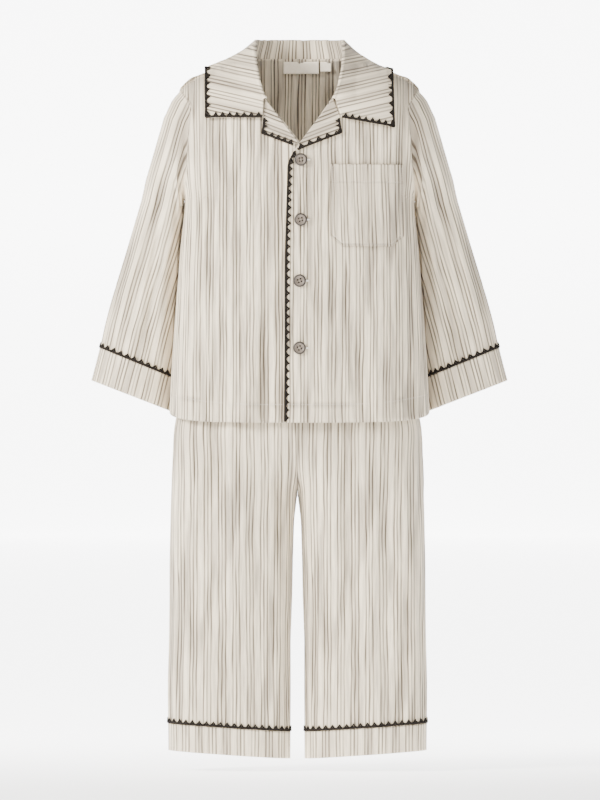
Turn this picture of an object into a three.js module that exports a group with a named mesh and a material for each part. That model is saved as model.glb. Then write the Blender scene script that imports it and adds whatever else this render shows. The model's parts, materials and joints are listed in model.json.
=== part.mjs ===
// Child's pyjama set, size 92: a long-sleeved jacket with a notched collar, four buttons, one chest
// pocket and a dark pointed trim, over straight trousers. Both are filled out and hollow, as worn.
// Millimetres. +X is the wearer's left, the front faces -Y, +Z is up. The origin lies at the middle
// of the neck at shoulder height, where the wearer carries the jacket.
import * as THREE from 'three';

// Cloth and seams
const CLOTH = 1.6;            // wall of the crinkled two-layer cotton
const SEAM = 0.3;             // gap between two sewn pieces
const LAP = SEAM + 0.1;       // gap between a piece and the panel that it lies on
const OVAL = 2.4;             // roundness of the body and limb sections, 2 is an ellipse
const SHOULDER_ROUND = 70;    // height over which a panel rolls back to the shoulder seam

// Jacket lengths and places
const HEM_CENTRE = -399.5;    // jacket hem at the front edge
const HEM_RISE = 12.5;        // how much higher the hem lies at the side seam
const ARMPIT = -144;
const TIP_X = 137;            // shoulder tip
const NECK_X = 52;            // neck point on the shoulder seam
const NECK_BACK = 20;         // height of the neck seam at the back
const BREAK_Z = -80;          // where the lapels start to roll
const GORGE_Z = -30;          // where collar and lapel meet on the roll line
const UNDER_EDGE = 14;        // edge of the under front, past the centre
const OVERLAP = { from: 18, to: 46 };  // where the over front comes down beside the under one
const HEM_HALF = 150;

// Trousers
const TROUSER_X = -2.3;       // the trousers hang a little to the wearer's right
const WAIST_TOP = -264;
const WAISTBAND = 26;
const FORK_TOP = -400;        // where the two leg ovals start to part
const FORK = -485;            // crotch
const LEG_SEAM = -744.6;      // seam of the hem band at the outer side
const LEG_SEAM_DROP = 10;     // how much lower it lies at the inner side
const SEAM_DROP_END = -600;   // height where the rows are level again
const LEG_HEM = -776;
const ELASTIC = 2.4;          // wall of the gathered waistband
const LEG_MIDDLE = 78;        // from the middle of the trousers to the middle of a leg
const SIDE_X = 148;           // side of a leg at the hem

// Trim: a dark spine with pointed teeth
const TRIM = { spine: 2.2, tooth: 4.4, thick: 0.8 };
const PLACKET_TOOTH = 3.9;    // shorter, so that the teeth end beside the buttons
const PLACKET_RUN = { top: -97, bottom: -398.5, inset: 0.2 };
const ROUND_LIFT = 1.2;       // the trim's straight steps stand a little off a round limb
const TEETH = { collarFront: 8, collarRound: 48, lapelSide: 3, lapelFoot: 5, placket: 32, cuff: 30, leg: 42 };

// Body sections of the jacket, from hem to shoulder
const TORSO = [
  { z: -400, half: 150, front: 72, back: 68 },
  { z: -345, half: 147.5, front: 71, back: 68 },
  { z: -284, half: 143.5, front: 70, back: 68 },
  { z: -201, half: 137, front: 68, back: 68 },
  { z: ARMPIT, half: 132, front: 66, back: 68 },
  { z: -120, half: 138, front: 65, back: 69 },
  { z: -80, half: 146, front: 64, back: 70 },
  { z: -40, half: 149, front: 62, back: 70 },
  { z: 45, half: 149, front: 60, back: 70 },
];

// Height of the shoulder seam, and of its line carried on over the neck
const ROOF = [
  { x: 0, z: 43 },
  { x: NECK_X, z: 19 },
  { x: 109, z: -1 },
  { x: 120, z: -5 },
  { x: TIP_X, z: -16.5 },
];

// Armhole edge, seen from the front
const ARMHOLE = [
  { z: ARMPIT, x: 132 },
  { z: -100, x: 128.3 },
  { z: -64, x: 126 },
  { z: -45, x: 124 },
  { z: -36, x: 125 },
  { z: -26, x: 131 },
  { z: -16.5, x: TIP_X },
];

// Edge of each front: straight down the buttons, then along the roll line up to the neck
const OVER_EDGE = [
  { z: -401, x: -17.8 },
  { z: -213, x: -16.7 },
  { z: -106, x: -13.6 },
  { z: -96, x: -10 },
  { z: -86, x: -4 },
  { z: -51, x: 22 },
  { z: -21, x: 43 },
  { z: -7, x: 48 },
  { z: 19, x: NECK_X },
];
const UNDER_EDGE_LINE = [
  { z: -401, x: UNDER_EDGE },
  { z: -97, x: UNDER_EDGE },
  { z: -80, x: 1 },
  { z: -58.7, x: -15.5 },
  { z: -39, x: -32 },
  { z: GORGE_Z, x: -38.5 },
  { z: -7, x: -47 },
  { z: 19, x: -NECK_X },
];

// Sleeve rings: outer and inner point, half depth and middle in depth, from armhole to cuff seam
const SLEEVE = [
  { outX: 137, outZ: -16.5, inX: 132.4, inZ: -144, deep: 44, y: 2 },
  { outX: 148, outZ: -29, inX: 134.5, inZ: -150, deep: 44, y: 8 },
  { outX: 157, outZ: -48, inX: 134, inZ: -158, deep: 42, y: 13 },
  { outX: 164.5, outZ: -74, inX: 133, inZ: -168, deep: 39, y: 18 },
  { outX: 176.5, outZ: -115, inX: 133.5, inZ: -182, deep: 36, y: 24 },
  { outX: 183.4, outZ: -144, inX: 133, inZ: -198, deep: 34, y: 28 },
  { outX: 197.2, outZ: -190, inX: 133.4, inZ: -226, deep: 32, y: 31 },
  { outX: 211, outZ: -236, inX: 135, inZ: -262, deep: 30, y: 32 },
  { outX: 223.7, outZ: -282, inX: 138, inZ: -314, deep: 28, y: 33 },
  { outX: 230.6, outZ: -313, inX: 140.5, inZ: -350, deep: 27, y: 34 },
  { outX: 240.4, outZ: -351, inX: 142, inZ: -389, deep: 26, y: 34 },
];
const SLEEVE_CLEAR = 2.2;     // air between a sleeve and the body beside it
const SLEEVE_JOIN = 0.7;      // gap between the armhole's edge and the sleeve's first ring
const UNDERARM_BLEND = 18;    // height below the armpit over which the body's width takes over
const CUFF_ROW = 9;           // ring where the sleeve ends and the cuff starts
const CUFF_DEEP = 39;         // from the cuff's seam to its edge
const CUFF_MIDDLE = { x: 186, z: -331 };

// Collar: fold line from the shoulder to the gorge, on one side
const FOLD_LINE = [
  { p: 0, x: 49, y: 6, z: 41 },
  { p: 0.2, x: 50, y: -14, z: 33 },
  { p: 0.47, x: 49.5, y: -39, z: 16 },
  { p: 0.73, x: 45, y: -60.5, z: -10 },
  { p: 1, x: 38.5, y: -66.5, z: -29 },
];
// Corners of the collar's outer edge: over the shoulder, the front point and the notch
const COLLAR_CORNERS = {
  right: { top: { x: 108.7, z: 8.6 }, point: { x: 107.5, z: -48.3 }, notch: { x: 42, z: -49.5 } },
  left: { top: { x: 107, z: 3.5 }, point: { x: 108.7, z: -59 }, notch: { x: 47.7, z: -49.5 } },
};
const COLLAR_BACK = { foldX: 49, foldY: 55, foldZ: 43.5, edgeY: 72, edgeZ: -15 };
const COLLAR_STEPS = 30;      // columns of the collar; its corners lie on them
const COLLAR_ROWS = 9;
const COLLAR_SHARES = { shoulder: 12 / COLLAR_STEPS, top: 16 / COLLAR_STEPS, point: 22 / COLLAR_STEPS };
const FOLD_RADIUS = { back: 3, gorge: 2.3 };
const FALL_BULGE = 2.5;       // soft rise of the fall in front, between fold and edge
const COLLAR_LIFT = 4.4;      // how far the fall's outer face stands off the body
const COLLAR_JOIN = 0.8;      // gap between the neck seam and the collar
const COLLAR_TOP_Y = -6;      // depth of the corner over the shoulder
const STAND_END = 0.22;       // shares of the collar's rows: the stand, the fold, then the fall
const FALL_START = 0.5;

// Lapels: corners of the part turned out, from the gorge down to the break
const LAPELS = {
  right: { gorge: { x: -37, z: -33 }, top: { x: -41, z: -52 }, tip: { x: -43, z: -70 },
    end: { x: -7.5, z: -83.5 }, start: { x: -2, z: -79.5 } },
  left: { gorge: { x: 35.5, z: -33 }, top: { x: 46, z: -52 }, tip: { x: 48, z: -69 },
    end: { x: -2, z: -89 }, start: { x: -1, z: -83 } },
};

const LAPEL_SPRING = 1.2;     // how far the roll line springs off the front
const LAPEL_TURN = 0.7;       // share of the lapel's rows up to its tip

// Chest pocket, on the wearer's left
const POCKET = { left: 35, right: 118.5, top: -104.5, bottom: -198.5, chamferX: 14, chamferZ: 12,
  wall: 1.3, lift: 1 };

// Buttons: a flat disc with four holes
const BUTTON = { radius: 7.3, thick: 2.4, shank: 0.6, hole: 0.95, holeAt: 1.9, holeSides: 5 };
const BUTTON_PLACES = [
  { name: 'button_1', x: 1.7, z: -99.5 },
  { name: 'button_2', x: 1.4, z: -168 },
  { name: 'button_3', x: 0.2, z: -237.7 },
  { name: 'button_4', x: 0, z: -314.4 },
];

// Blank labels inside the back neck
const LABELS = [
  { name: 'neck_label', left: -19, right: 23, top: 18.8, bottom: 4.8 },
  { name: 'size_label', left: 25, right: 37.3, top: 18.2, bottom: 7.3 },
];
const LABEL_WALL = 0.6;

// Trouser sections from waist to hem: outer half width, depth and half of the gap between the legs
const TROUSERS = [
  { z: -786, half: 148.3, deep: 33, gap: 8 },
  { z: -700, half: 149, deep: 34, gap: 7.5 },
  { z: -650, half: 147.8, deep: 37, gap: 7.6 },
  { z: -600, half: 147.2, deep: 41, gap: 5.8 },
  { z: -558, half: 147, deep: 45, gap: 5 },
  { z: -512, half: 146, deep: 51, gap: 3.6 },
  { z: FORK, half: 145.3, deep: 55, gap: 0.4 },
  { z: -440, half: 143.5, deep: 59, gap: 0 },
  { z: -399, half: 140.5, deep: 60, gap: 0 },
  { z: -340, half: 124, deep: 56, gap: 0 },
  { z: -290, half: 99, deep: 49, gap: 0 },
  { z: WAIST_TOP, half: 97, deep: 48, gap: 0 },
];

// Heights of the trouser panels' rows, as shares from the hem band up to the waistband
const LEG_ROWS = [{ v: 0, z: LEG_SEAM }, { v: 0.5, z: -505 }, { v: 0.8, z: -405 }];

// Largest folds: middle at the top and bottom, half width, depth (a trough is negative)
const FRONT_FOLDS = [
  { top: -250, bottom: -401, xTop: -34, xBottom: -38, wide: 8, deep: -3.2 },
  { top: -190, bottom: -401, xTop: -52, xBottom: -60, wide: 10, deep: 2.2 },
  { top: -150, bottom: -401, xTop: -86, xBottom: -92, wide: 12, deep: -2.2 },
  { top: -215, bottom: -401, xTop: 62, xBottom: 70, wide: 11, deep: -2.2 },
  { top: -260, bottom: -401, xTop: 100, xBottom: 106, wide: 10, deep: 2 },
];
const BACK_FOLDS = [
  { top: -120, bottom: -401, xTop: -60, xBottom: -74, wide: 13, deep: -3 },
  { top: -170, bottom: -401, xTop: -14, xBottom: -18, wide: 12, deep: 2.6 },
  { top: -140, bottom: -401, xTop: 38, xBottom: 46, wide: 13, deep: -3.2 },
  { top: -200, bottom: -401, xTop: 88, xBottom: 98, wide: 12, deep: 2.4 },
];
const LEG_FOLDS = [
  { top: -330, bottom: -560, xTop: -84, xBottom: -116, wide: 11, deep: -4.5 },
  { top: -430, bottom: -650, xTop: -66, xBottom: -74, wide: 13, deep: 2.4 },
  { top: -330, bottom: -600, xTop: 56, xBottom: 62, wide: 11, deep: -4 },
  { top: -400, bottom: -650, xTop: 108, xBottom: 102, wide: 12, deep: -2.8 },
];

const clamp = THREE.MathUtils.clamp;
const lerp = THREE.MathUtils.lerp;
const smooth = (x, from, to) => THREE.MathUtils.smoothstep(x, Math.min(from, to), Math.max(from, to));

// A smooth line through one column of a table, read at a value of another column
function track(rows, at, column, straight = false) {
  const sorted = [...rows].sort((a, b) => a[at] - b[at]);
  const last = sorted.length - 1;
  const slope = (i) => {
    const a = sorted[Math.max(i - 1, 0)];
    const b = sorted[Math.min(i + 1, last)];
    return (b[column] - a[column]) / (b[at] - a[at]);
  };
  return (value) => {
    if (value <= sorted[0][at]) return sorted[0][column];
    if (value >= sorted[last][at]) return sorted[last][column];
    const i = sorted.findIndex((row, k) => k < last && value <= sorted[k + 1][at]);
    const step = sorted[i + 1][at] - sorted[i][at];
    const t = (value - sorted[i][at]) / step;
    const a = sorted[i][column];
    const b = sorted[i + 1][column];
    if (straight) return lerp(a, b, t);
    const t2 = t * t;
    const t3 = t2 * t;
    return (2 * t3 - 3 * t2 + 1) * a + (3 * t2 - 2 * t3) * b
      + step * ((t3 - 2 * t2 + t) * slope(i) + (t3 - t2) * slope(i + 1));
  };
}

const torsoHalf = track(TORSO, 'z', 'half');
const torsoFront = track(TORSO, 'z', 'front');
const torsoBack = track(TORSO, 'z', 'back');
const roofLine = track(ROOF, 'x', 'z');
const roof = (x) => roofLine(Math.abs(x));
const armholeX = track(ARMHOLE, 'z', 'x');
const overEdge = track(OVER_EDGE, 'z', 'x', true);
const underEdge = track(UNDER_EDGE_LINE, 'z', 'x', true);
const hemAt = (x) => HEM_CENTRE + HEM_RISE * Math.pow(Math.min(1, Math.abs(x) / HEM_HALF), 3.5);

// Height of a section over its middle plane, as a share of its depth
const oval = (share) => Math.pow(Math.max(0, 1 - Math.pow(Math.min(1, Math.abs(share)), OVAL)), 1 / OVAL);

// Soft folds: each fades in from its upper end, and fades out again past its lower one
function relief(folds, x, z, side) {
  const fadeIn = 0.6;
  const gone = 1.2;
  let sum = 0;
  for (const fold of folds) {
    const share = clamp((fold.top - z) / (fold.top - fold.bottom), 0, gone);
    const middle = lerp(fold.xTop, fold.xBottom, share);
    const across = (x - middle) / fold.wide;
    sum += fold.deep * Math.exp(-across * across) * smooth(share, 0, fadeIn) * (1 - smooth(share, 1, gone));
  }
  return side * sum;
}

// Outer face of the jacket's body at a place seen from the front or back; side is -1 in front
function bodyY(x, z, side) {
  const depth = side < 0 ? torsoFront(z) : torsoBack(z);
  const down = clamp((roof(x) - z) / SHOULDER_ROUND, 0, 1);
  const folds = side < 0 ? FRONT_FOLDS : BACK_FOLDS;
  return side * (SEAM / 2 + depth * oval(x / torsoHalf(z)) * Math.sqrt(1 - (1 - down) ** 2))
    + relief(folds, x, z, side);
}

// The over front lies on the under front past the centre, and blends down to the body beside it
const overY = (x, z) => bodyY(x, z, -1) - (CLOTH + LAP) * (1 - smooth(x, OVERLAP.from, OVERLAP.to));

// A place on a face of the jacket, moved out along the face's normal
function onFace(faceY, x, z, lift, side = -1) {
  const step = 0.5;
  const slopeX = (faceY(x + step, z) - faceY(x - step, z)) / (2 * step);
  const slopeZ = (faceY(x, z + step) - faceY(x, z - step)) / (2 * step);
  const normal = new THREE.Vector3(-slopeX, 1, -slopeZ).multiplyScalar(side).normalize();
  return new THREE.Vector3(x, faceY(x, z), z).addScaledVector(normal, lift);
}

// Closed wall over a grid of outer points, its inner face moved in along the normals. Where square
// names an axis, the wall's edge stands square to it, so that two panels meet flat along a seam.
function wall({ point, across, along, thick = CLOTH, closed = false, outward, square }) {
  const columns = closed ? across : across + 1;
  const at = (i, j) => point(i / across, j / along);
  const outer = [];
  for (let j = 0; j <= along; j++) for (let i = 0; i < columns; i++) outer.push(at(i, j));
  const id = (i, j) => j * columns + (closed ? (i + columns) % columns : clamp(i, 0, across));
  const normals = outer.map((p, k) => {
    const i = k % columns;
    const j = Math.floor(k / columns);
    const du = outer[id(i + 1, j)].clone().sub(outer[id(i - 1, j)]);
    const dv = outer[id(i, Math.min(j + 1, along))].clone().sub(outer[id(i, Math.max(j - 1, 0))]);
    const normal = du.cross(dv).normalize();
    const axis = square?.(i / across, j / along, p);
    if (axis) normal[axis] = 0;
    return normal.normalize();
  });
  const probe = id(Math.round(outward.u * across), Math.round(outward.v * along));
  const sign = normals[probe].dot(outward.way) > 0 ? 1 : -1;
  const inner = outer.map((p, k) => p.clone().addScaledVector(normals[k], -sign * thick));
  const count = outer.length;
  const faces = [];
  const quad = (a, b, c, d) => faces.push(a, b, c, a, c, d);
  const wraps = closed ? columns : across;
  for (let j = 0; j < along; j++) {
    for (let i = 0; i < wraps; i++) {
      const [a, b, c, d] = [id(i, j), id(i + 1, j), id(i + 1, j + 1), id(i, j + 1)];
      quad(a, b, c, d);
      quad(d + count, c + count, b + count, a + count);
    }
  }
  for (let i = 0; i < wraps; i++) {
    quad(id(i + 1, 0), id(i, 0), id(i, 0) + count, id(i + 1, 0) + count);
    quad(id(i, along), id(i + 1, along), id(i + 1, along) + count, id(i, along) + count);
  }
  if (!closed) {
    for (let j = 0; j < along; j++) {
      quad(id(0, j), id(0, j + 1), id(0, j + 1) + count, id(0, j) + count);
      quad(id(across, j + 1), id(across, j), id(across, j) + count, id(across, j + 1) + count);
    }
  }
  return solid([...outer, ...inner], faces);
}

// Geometry of a closed solid, turned so that its faces point out
function solid(points, faces) {
  let volume = 0;
  for (let f = 0; f < faces.length; f += 3) {
    const [a, b, c] = [points[faces[f]], points[faces[f + 1]], points[faces[f + 2]]];
    volume += a.dot(b.clone().cross(c));
  }
  const turned = volume < 0 ? [...faces].reverse() : faces;
  const geometry = new THREE.BufferGeometry();
  geometry.setAttribute('position', new THREE.Float32BufferAttribute(points.flatMap((p) => p.toArray()), 3));
  geometry.setIndex(turned);
  geometry.computeVertexNormals();
  return geometry;
}

const V = (x, y, z) => new THREE.Vector3(x, y, z);

// Rows of a jacket panel: even below, then closer together where the panel rolls over the shoulder
function panelHeight(share, low, mid, high, midShare) {
  if (share <= midShare) return lerp(low, mid, share / midShare);
  return mid + (high - mid) * Math.sin((Math.PI / 2) * (share - midShare) / (1 - midShare));
}

// A point of a front: u runs from its free edge to the side, v from the hem to the shoulder
function frontPoint(hand, edge, faceY) {
  const neck = hand * NECK_X;
  const tip = hand * TIP_X;
  return (u, v) => {
    const innerZ = panelHeight(v, HEM_CENTRE, BREAK_Z - 8, roof(neck), 0.62);
    const outerZ = panelHeight(v, HEM_CENTRE + HEM_RISE, ARMPIT, roof(tip), 0.56);
    let z = lerp(innerZ, outerZ, u);
    const flatTop = lerp(roof(neck), roof(tip), u);
    z += (roof(lerp(neck, tip, u)) - flatTop) * v ** 4;
    const flatHem = lerp(HEM_CENTRE, HEM_CENTRE + HEM_RISE, u);
    z += (hemAt(u * HEM_HALF) - flatHem) * (1 - v) ** 4;
    const half = torsoHalf(z);
    const from = Math.asin(clamp(edge(z) / half, -1, 1));
    const side = z < ARMPIT ? half : armholeX(z);
    const to = Math.asin(clamp(hand * side / half, -1, 1));
    const x = half * Math.sin(lerp(from, to, u));
    return V(x, faceY(x, z), z);
  };
}

// The back is one piece from side seam to side seam, with the neck cut into its top
function backPoint(u, v) {
  const share = 2 * u - 1;
  const hand = Math.sign(share) || 1;
  const out = Math.abs(share);
  const neckShare = 0.36;
  const centreTop = out < neckShare
    ? NECK_BACK - (NECK_BACK - roof(NECK_X)) * (out / neckShare) ** 2
    : roof(lerp(NECK_X, TIP_X, (out - neckShare) / (1 - neckShare)));
  const z = panelHeight(v, hemAt(out * HEM_HALF), lerp(-120, ARMPIT, out), centreTop, 0.58);
  const half = torsoHalf(z);
  const side = z < ARMPIT ? half : armholeX(z);
  const top = out < neckShare ? NECK_X * (out / neckShare)
    : lerp(NECK_X, side, (out - neckShare) / (1 - neckShare));
  const low = half * Math.sin(out * Math.asin(clamp(side / half, 0, 1)));
  const x = hand * lerp(low, top, smooth(v, 0.58, 1));
  return V(x, bodyY(x, z, 1), z);
}

const sleeveColumn = Object.fromEntries(['outX', 'outZ', 'inX', 'inZ', 'deep', 'y'].map((column) =>
  [column, track(SLEEVE.map((row, k) => ({ ...row, k })), 'k', column)]));

// A ring of the sleeve; turn is 0 at the outer point and runs over the front to the inner point
function sleeveRing(k, turn) {
  const c = Object.fromEntries(Object.entries(sleeveColumn).map(([name, read]) => [name, read(k)]));
  const along = Math.cos(turn);
  const front = -Math.sign(Math.sin(turn)) * oval(along) * c.deep;
  return V(lerp(c.inX, c.outX, (1 + along) / 2), c.y + front, lerp(c.inZ, c.outZ, (1 + along) / 2));
}

// The armhole loop that the sleeve's first ring follows
function armholeRing(turn) {
  const top = roof(TIP_X);
  const z = lerp(ARMPIT, top, (1 + Math.cos(turn)) / 2);
  const x = armholeX(z);
  const side = Math.sin(turn) >= 0 ? -1 : 1;
  return V(x + SLEEVE_JOIN, bodyY(x, z, side) - side * SEAM / 2, z);
}

function sleevePoint(hand, from, to) {
  return (u, v) => {
    const k = lerp(from, to, v);
    const turn = 2 * Math.PI * u;
    const p = sleeveRing(k, turn);
    const fit = armholeRing(turn).sub(sleeveRing(0, turn));
    p.addScaledVector(fit, 1 - smooth(k, 0, 2));
    const depth = p.y < 0 ? torsoFront(p.z) : torsoBack(p.z);
    const below = 1 - smooth(p.z, ARMPIT - UNDERARM_BLEND, ARMPIT);
    const body = lerp(armholeX(p.z), torsoHalf(p.z) * oval(p.y / depth), below);
    p.x = hand * Math.max(p.x, body + SLEEVE_CLEAR * smooth(k, 0, 1) + LAP);
    return p;
  };
}

const foldColumn = Object.fromEntries(['x', 'y', 'z'].map((column) => [column, track(FOLD_LINE, 'p', column)]));

// Seam, fold and edge of the collar at a share from the back centre (0) to the notch (1)
function collarSection(hand, share) {
  const corners = hand < 0 ? COLLAR_CORNERS.right : COLLAR_CORNERS.left;
  const { shoulder, top, point } = COLLAR_SHARES;
  const cornerAt = (c, y) => V(hand * c.x, y, c.z);
  const onFront = (c) => cornerAt(c, (hand < 0 ? bodyY(-c.x, c.z, -1) : overY(c.x, c.z)));
  const topCorner = cornerAt(corners.top, COLLAR_TOP_Y);
  let seam;
  let fold;
  if (share < shoulder) {
    const turn = (Math.PI / 2) * (1 - share / shoulder);
    const [c, s] = [Math.cos(turn), Math.sin(turn)];
    const x = NECK_X * c;
    const z = lerp(roof(NECK_X), NECK_BACK, s);
    seam = V(hand * x, bodyY(x, z, 1), z);
    fold = V(hand * COLLAR_BACK.foldX * c, lerp(foldColumn.y(0), COLLAR_BACK.foldY, s),
      lerp(foldColumn.z(0), COLLAR_BACK.foldZ, s));
  } else {
    const p = (share - shoulder) / (1 - shoulder);
    const z = roof(NECK_X) + (GORGE_Z - roof(NECK_X)) * (1 - Math.cos((Math.PI / 2) * p));
    const x = (hand < 0 ? underEdge : overEdge)(z);
    seam = V(x, bodyY(x, z, -1), z);
    fold = V(hand * foldColumn.x(p), foldColumn.y(p), foldColumn.z(p));
  }
  let edge;
  if (share < top) {
    const turn = (Math.PI / 2) * (1 - share / top);
    const [c, s] = [Math.cos(turn), Math.sin(turn)];
    edge = V(hand * corners.top.x * c, lerp(COLLAR_TOP_Y, COLLAR_BACK.edgeY, s),
      lerp(corners.top.z, COLLAR_BACK.edgeZ, s));
  } else if (share < point) {
    const t = (share - top) / (point - top);
    edge = topCorner.lerp(onFront(corners.point), t);
  } else {
    const t = (share - point) / (1 - point);
    edge = onFront(corners.point).lerp(onFront(corners.notch), t);
  }
  return { seam, fold, edge };
}

// Moves a point of the fall off the body, out over a front or the back or up over the shoulder
function clearOfBody(p) {
  const side = p.y < 0 ? -1 : 1;
  const depth = (side < 0 ? torsoFront(p.z) : torsoBack(p.z)) * oval(p.x / torsoHalf(p.z));
  const near = Math.max(0, Math.abs(p.y) - COLLAR_LIFT) / depth;
  const top = roof(p.x) - SHOULDER_ROUND * (1 - Math.sqrt(Math.max(0, 1 - near ** 2)));
  const faceY = side < 0 && p.x > 0 ? overY : (x, z) => bodyY(x, z, side);
  const slope = Math.hypot(1, faceY(p.x + 1, p.z) - faceY(p.x, p.z), faceY(p.x, p.z - 1) - faceY(p.x, p.z));
  const lift = COLLAR_LIFT * Math.min(slope, 4);
  const short = p.z < roof(p.x) ? lift - side * (p.y - faceY(p.x, p.z)) : Infinity;
  const low = top + 1.5 * COLLAR_LIFT - p.z;
  if (short > 0 && low > 0) {
    if (low < short) p.z += low;
    else p.y += side * short;
  }
  return p;
}

// Outer face of the collar: up the stand inside the neck, over the fold and down the fall
function collarPoint(u, v) {
  const hand = u < 0.5 ? -1 : 1;
  const share = Math.abs(2 * u - 1);
  const { seam, fold, edge } = collarSection(hand, share);
  const step = 0.01;
  const before = collarSection(hand, Math.max(0, share - step)).fold;
  const after = collarSection(hand, Math.min(1, share + step)).fold;
  const along = after.sub(before).normalize();
  const flat = (p) => p.clone().sub(fold).addScaledVector(along, -p.clone().sub(fold).dot(along)).normalize();
  const toSeam = flat(seam);
  const toEdge = flat(edge);
  const up = toSeam.clone().add(toEdge).normalize().negate();
  const out = toEdge.clone().sub(toSeam).addScaledVector(up, -toEdge.clone().sub(toSeam).dot(up)).normalize();
  const radius = lerp(FOLD_RADIUS.back, FOLD_RADIUS.gorge, smooth(share, COLLAR_SHARES.shoulder, 1));
  const centre = fold.clone().addScaledVector(up, -radius);
  const arc = (angle) => centre.clone().addScaledVector(out, radius * Math.sin(angle))
    .addScaledVector(up, radius * Math.cos(angle));
  if (v <= STAND_END) {
    const start = seam.clone().add(arc(-Math.PI / 2).sub(seam).setLength(COLLAR_JOIN));
    return start.lerp(arc(-Math.PI / 2), v / STAND_END);
  }
  if (v < FALL_START) return arc(Math.PI * ((v - STAND_END) / (FALL_START - STAND_END) - 0.5));
  const t = (v - FALL_START) / (1 - FALL_START);
  const p = arc(Math.PI / 2).lerp(edge, t);
  p.y -= FALL_BULGE * Math.sin(Math.PI * t) * smooth(share, COLLAR_SHARES.top, COLLAR_SHARES.point);
  return clearOfBody(p);
}

// A lapel lies on its front: u runs from the roll line out, v from the break up to the gorge
function lapelPoint(corners, faceY) {
  return (u, v) => {
    const roll = { x: lerp(corners.start.x, corners.gorge.x, v), z: lerp(corners.start.z, corners.gorge.z, v) };
    const [from, to, t] = v < LAPEL_TURN ? [corners.end, corners.tip, v / LAPEL_TURN]
      : [corners.tip, corners.top, (v - LAPEL_TURN) / (1 - LAPEL_TURN)];
    const outer = { x: lerp(from.x, to.x, t), z: lerp(from.z, to.z, t) };
    const x = lerp(roll.x, outer.x, u);
    const z = lerp(roll.z, outer.z, u);
    return onFace(faceY, x, z, CLOTH + LAP + LAPEL_SPRING * (1 - u) ** 2);
  };
}

// The pocket follows the front; its lower corners are cut off
function pocketPoint(u, v) {
  const x = lerp(POCKET.left, POCKET.right, u);
  const cut = Math.max(POCKET.left + POCKET.chamferX - x, x - POCKET.right + POCKET.chamferX, 0);
  const bottom = POCKET.bottom + cut * POCKET.chamferZ / POCKET.chamferX;
  const z = lerp(bottom, POCKET.top, v);
  return onFace(overY, x, z, POCKET.wall + POCKET.lift);
}

const trouserHalf = track(TROUSERS, 'z', 'half');
const trouserDeep = track(TROUSERS, 'z', 'deep');
const trouserGap = track(TROUSERS, 'z', 'gap', true);
const seamDrop = (x) => LEG_SEAM_DROP * (1 - clamp(Math.abs(x) / SIDE_X, 0, 1));

// Oval of one leg at a height; above the crotch it runs on past the middle and is cut there
function legOval(z) {
  const half = trouserHalf(z);
  if (z <= FORK) {
    const gap = trouserGap(z);
    return { middle: (half + gap) / 2, half: (half - gap) / 2, end: Math.PI / 2 };
  }
  const part = 1 - clamp((z - FORK) / (FORK_TOP - FORK), 0, 1);
  const q = part * part * (3 - 2 * part);
  return { middle: q * half / (1 + q), half: half / (1 + q), end: Math.asin(q) };
}

// A trouser panel: u runs from the side seam to the middle, v from the hem band to the waistband
function trouserPoint(hand, side) {
  const rowHeight = track([...LEG_ROWS, { v: 1, z: WAIST_TOP - WAISTBAND - SEAM }], 'v', 'z', true);
  return (u, v) => {
    const flat = rowHeight(v);
    const rough = legOval(flat);
    const roughX = rough.middle - rough.half * Math.sin(lerp(-Math.PI / 2, rough.end, u));
    const z = flat - seamDrop(roughX) * (1 - smooth(flat, LEG_SEAM, SEAM_DROP_END));
    return legPoint(hand, side, lerp(-Math.PI / 2, legOval(z).end, u), z);
  };
}

function legPoint(hand, side, turn, z) {
  const leg = legOval(z);
  const x = leg.middle - leg.half * Math.sin(turn);
  const y = side * (SEAM / 2 + trouserDeep(z) * oval(Math.sin(turn)));
  const fold = relief(LEG_FOLDS, (side < 0 ? 1 : -1) * hand * x, z, side) * oval(Math.sin(turn));
  return V(hand * (x + SEAM / 2) + TROUSER_X, y + fold, z);
}

// A closed ring round one leg; turn starts at the outer side and runs over the front
function legRing(hand, share, height) {
  const around = 2 * Math.PI * share;
  const side = Math.sin(around) >= 0 ? -1 : 1;
  const turn = Math.asin(clamp(-Math.cos(around), -1, 1));
  const leg = legOval(LEG_SEAM);
  const x = leg.middle - leg.half * Math.sin(turn);
  return legPoint(hand, side, turn, height(x));
}

function waistRing(share, z) {
  const around = 2 * Math.PI * share;
  const side = Math.cos(around) >= 0 ? -1 : 1;
  const x = trouserHalf(z) * Math.sin(around);
  return V(x + TROUSER_X, side * trouserDeep(z) * oval(Math.sin(around)), z);
}

// Places along a path, one tooth apart, with the way into the cloth and the way out of it
function stations(path, teeth, closed) {
  const fine = teeth * 12;
  const points = Array.from({ length: fine + 1 }, (_, k) => path(k / fine).at);
  const lengths = [0];
  for (let k = 1; k <= fine; k++) lengths.push(lengths[k - 1] + points[k].distanceTo(points[k - 1]));
  const total = lengths[fine];
  return Array.from({ length: closed ? teeth : teeth + 1 }, (_, n) => {
    const want = (n / teeth) * total;
    const k = clamp(lengths.findIndex((length) => length >= want - 1e-9), 0, fine);
    return path(k / fine);
  });
}

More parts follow.
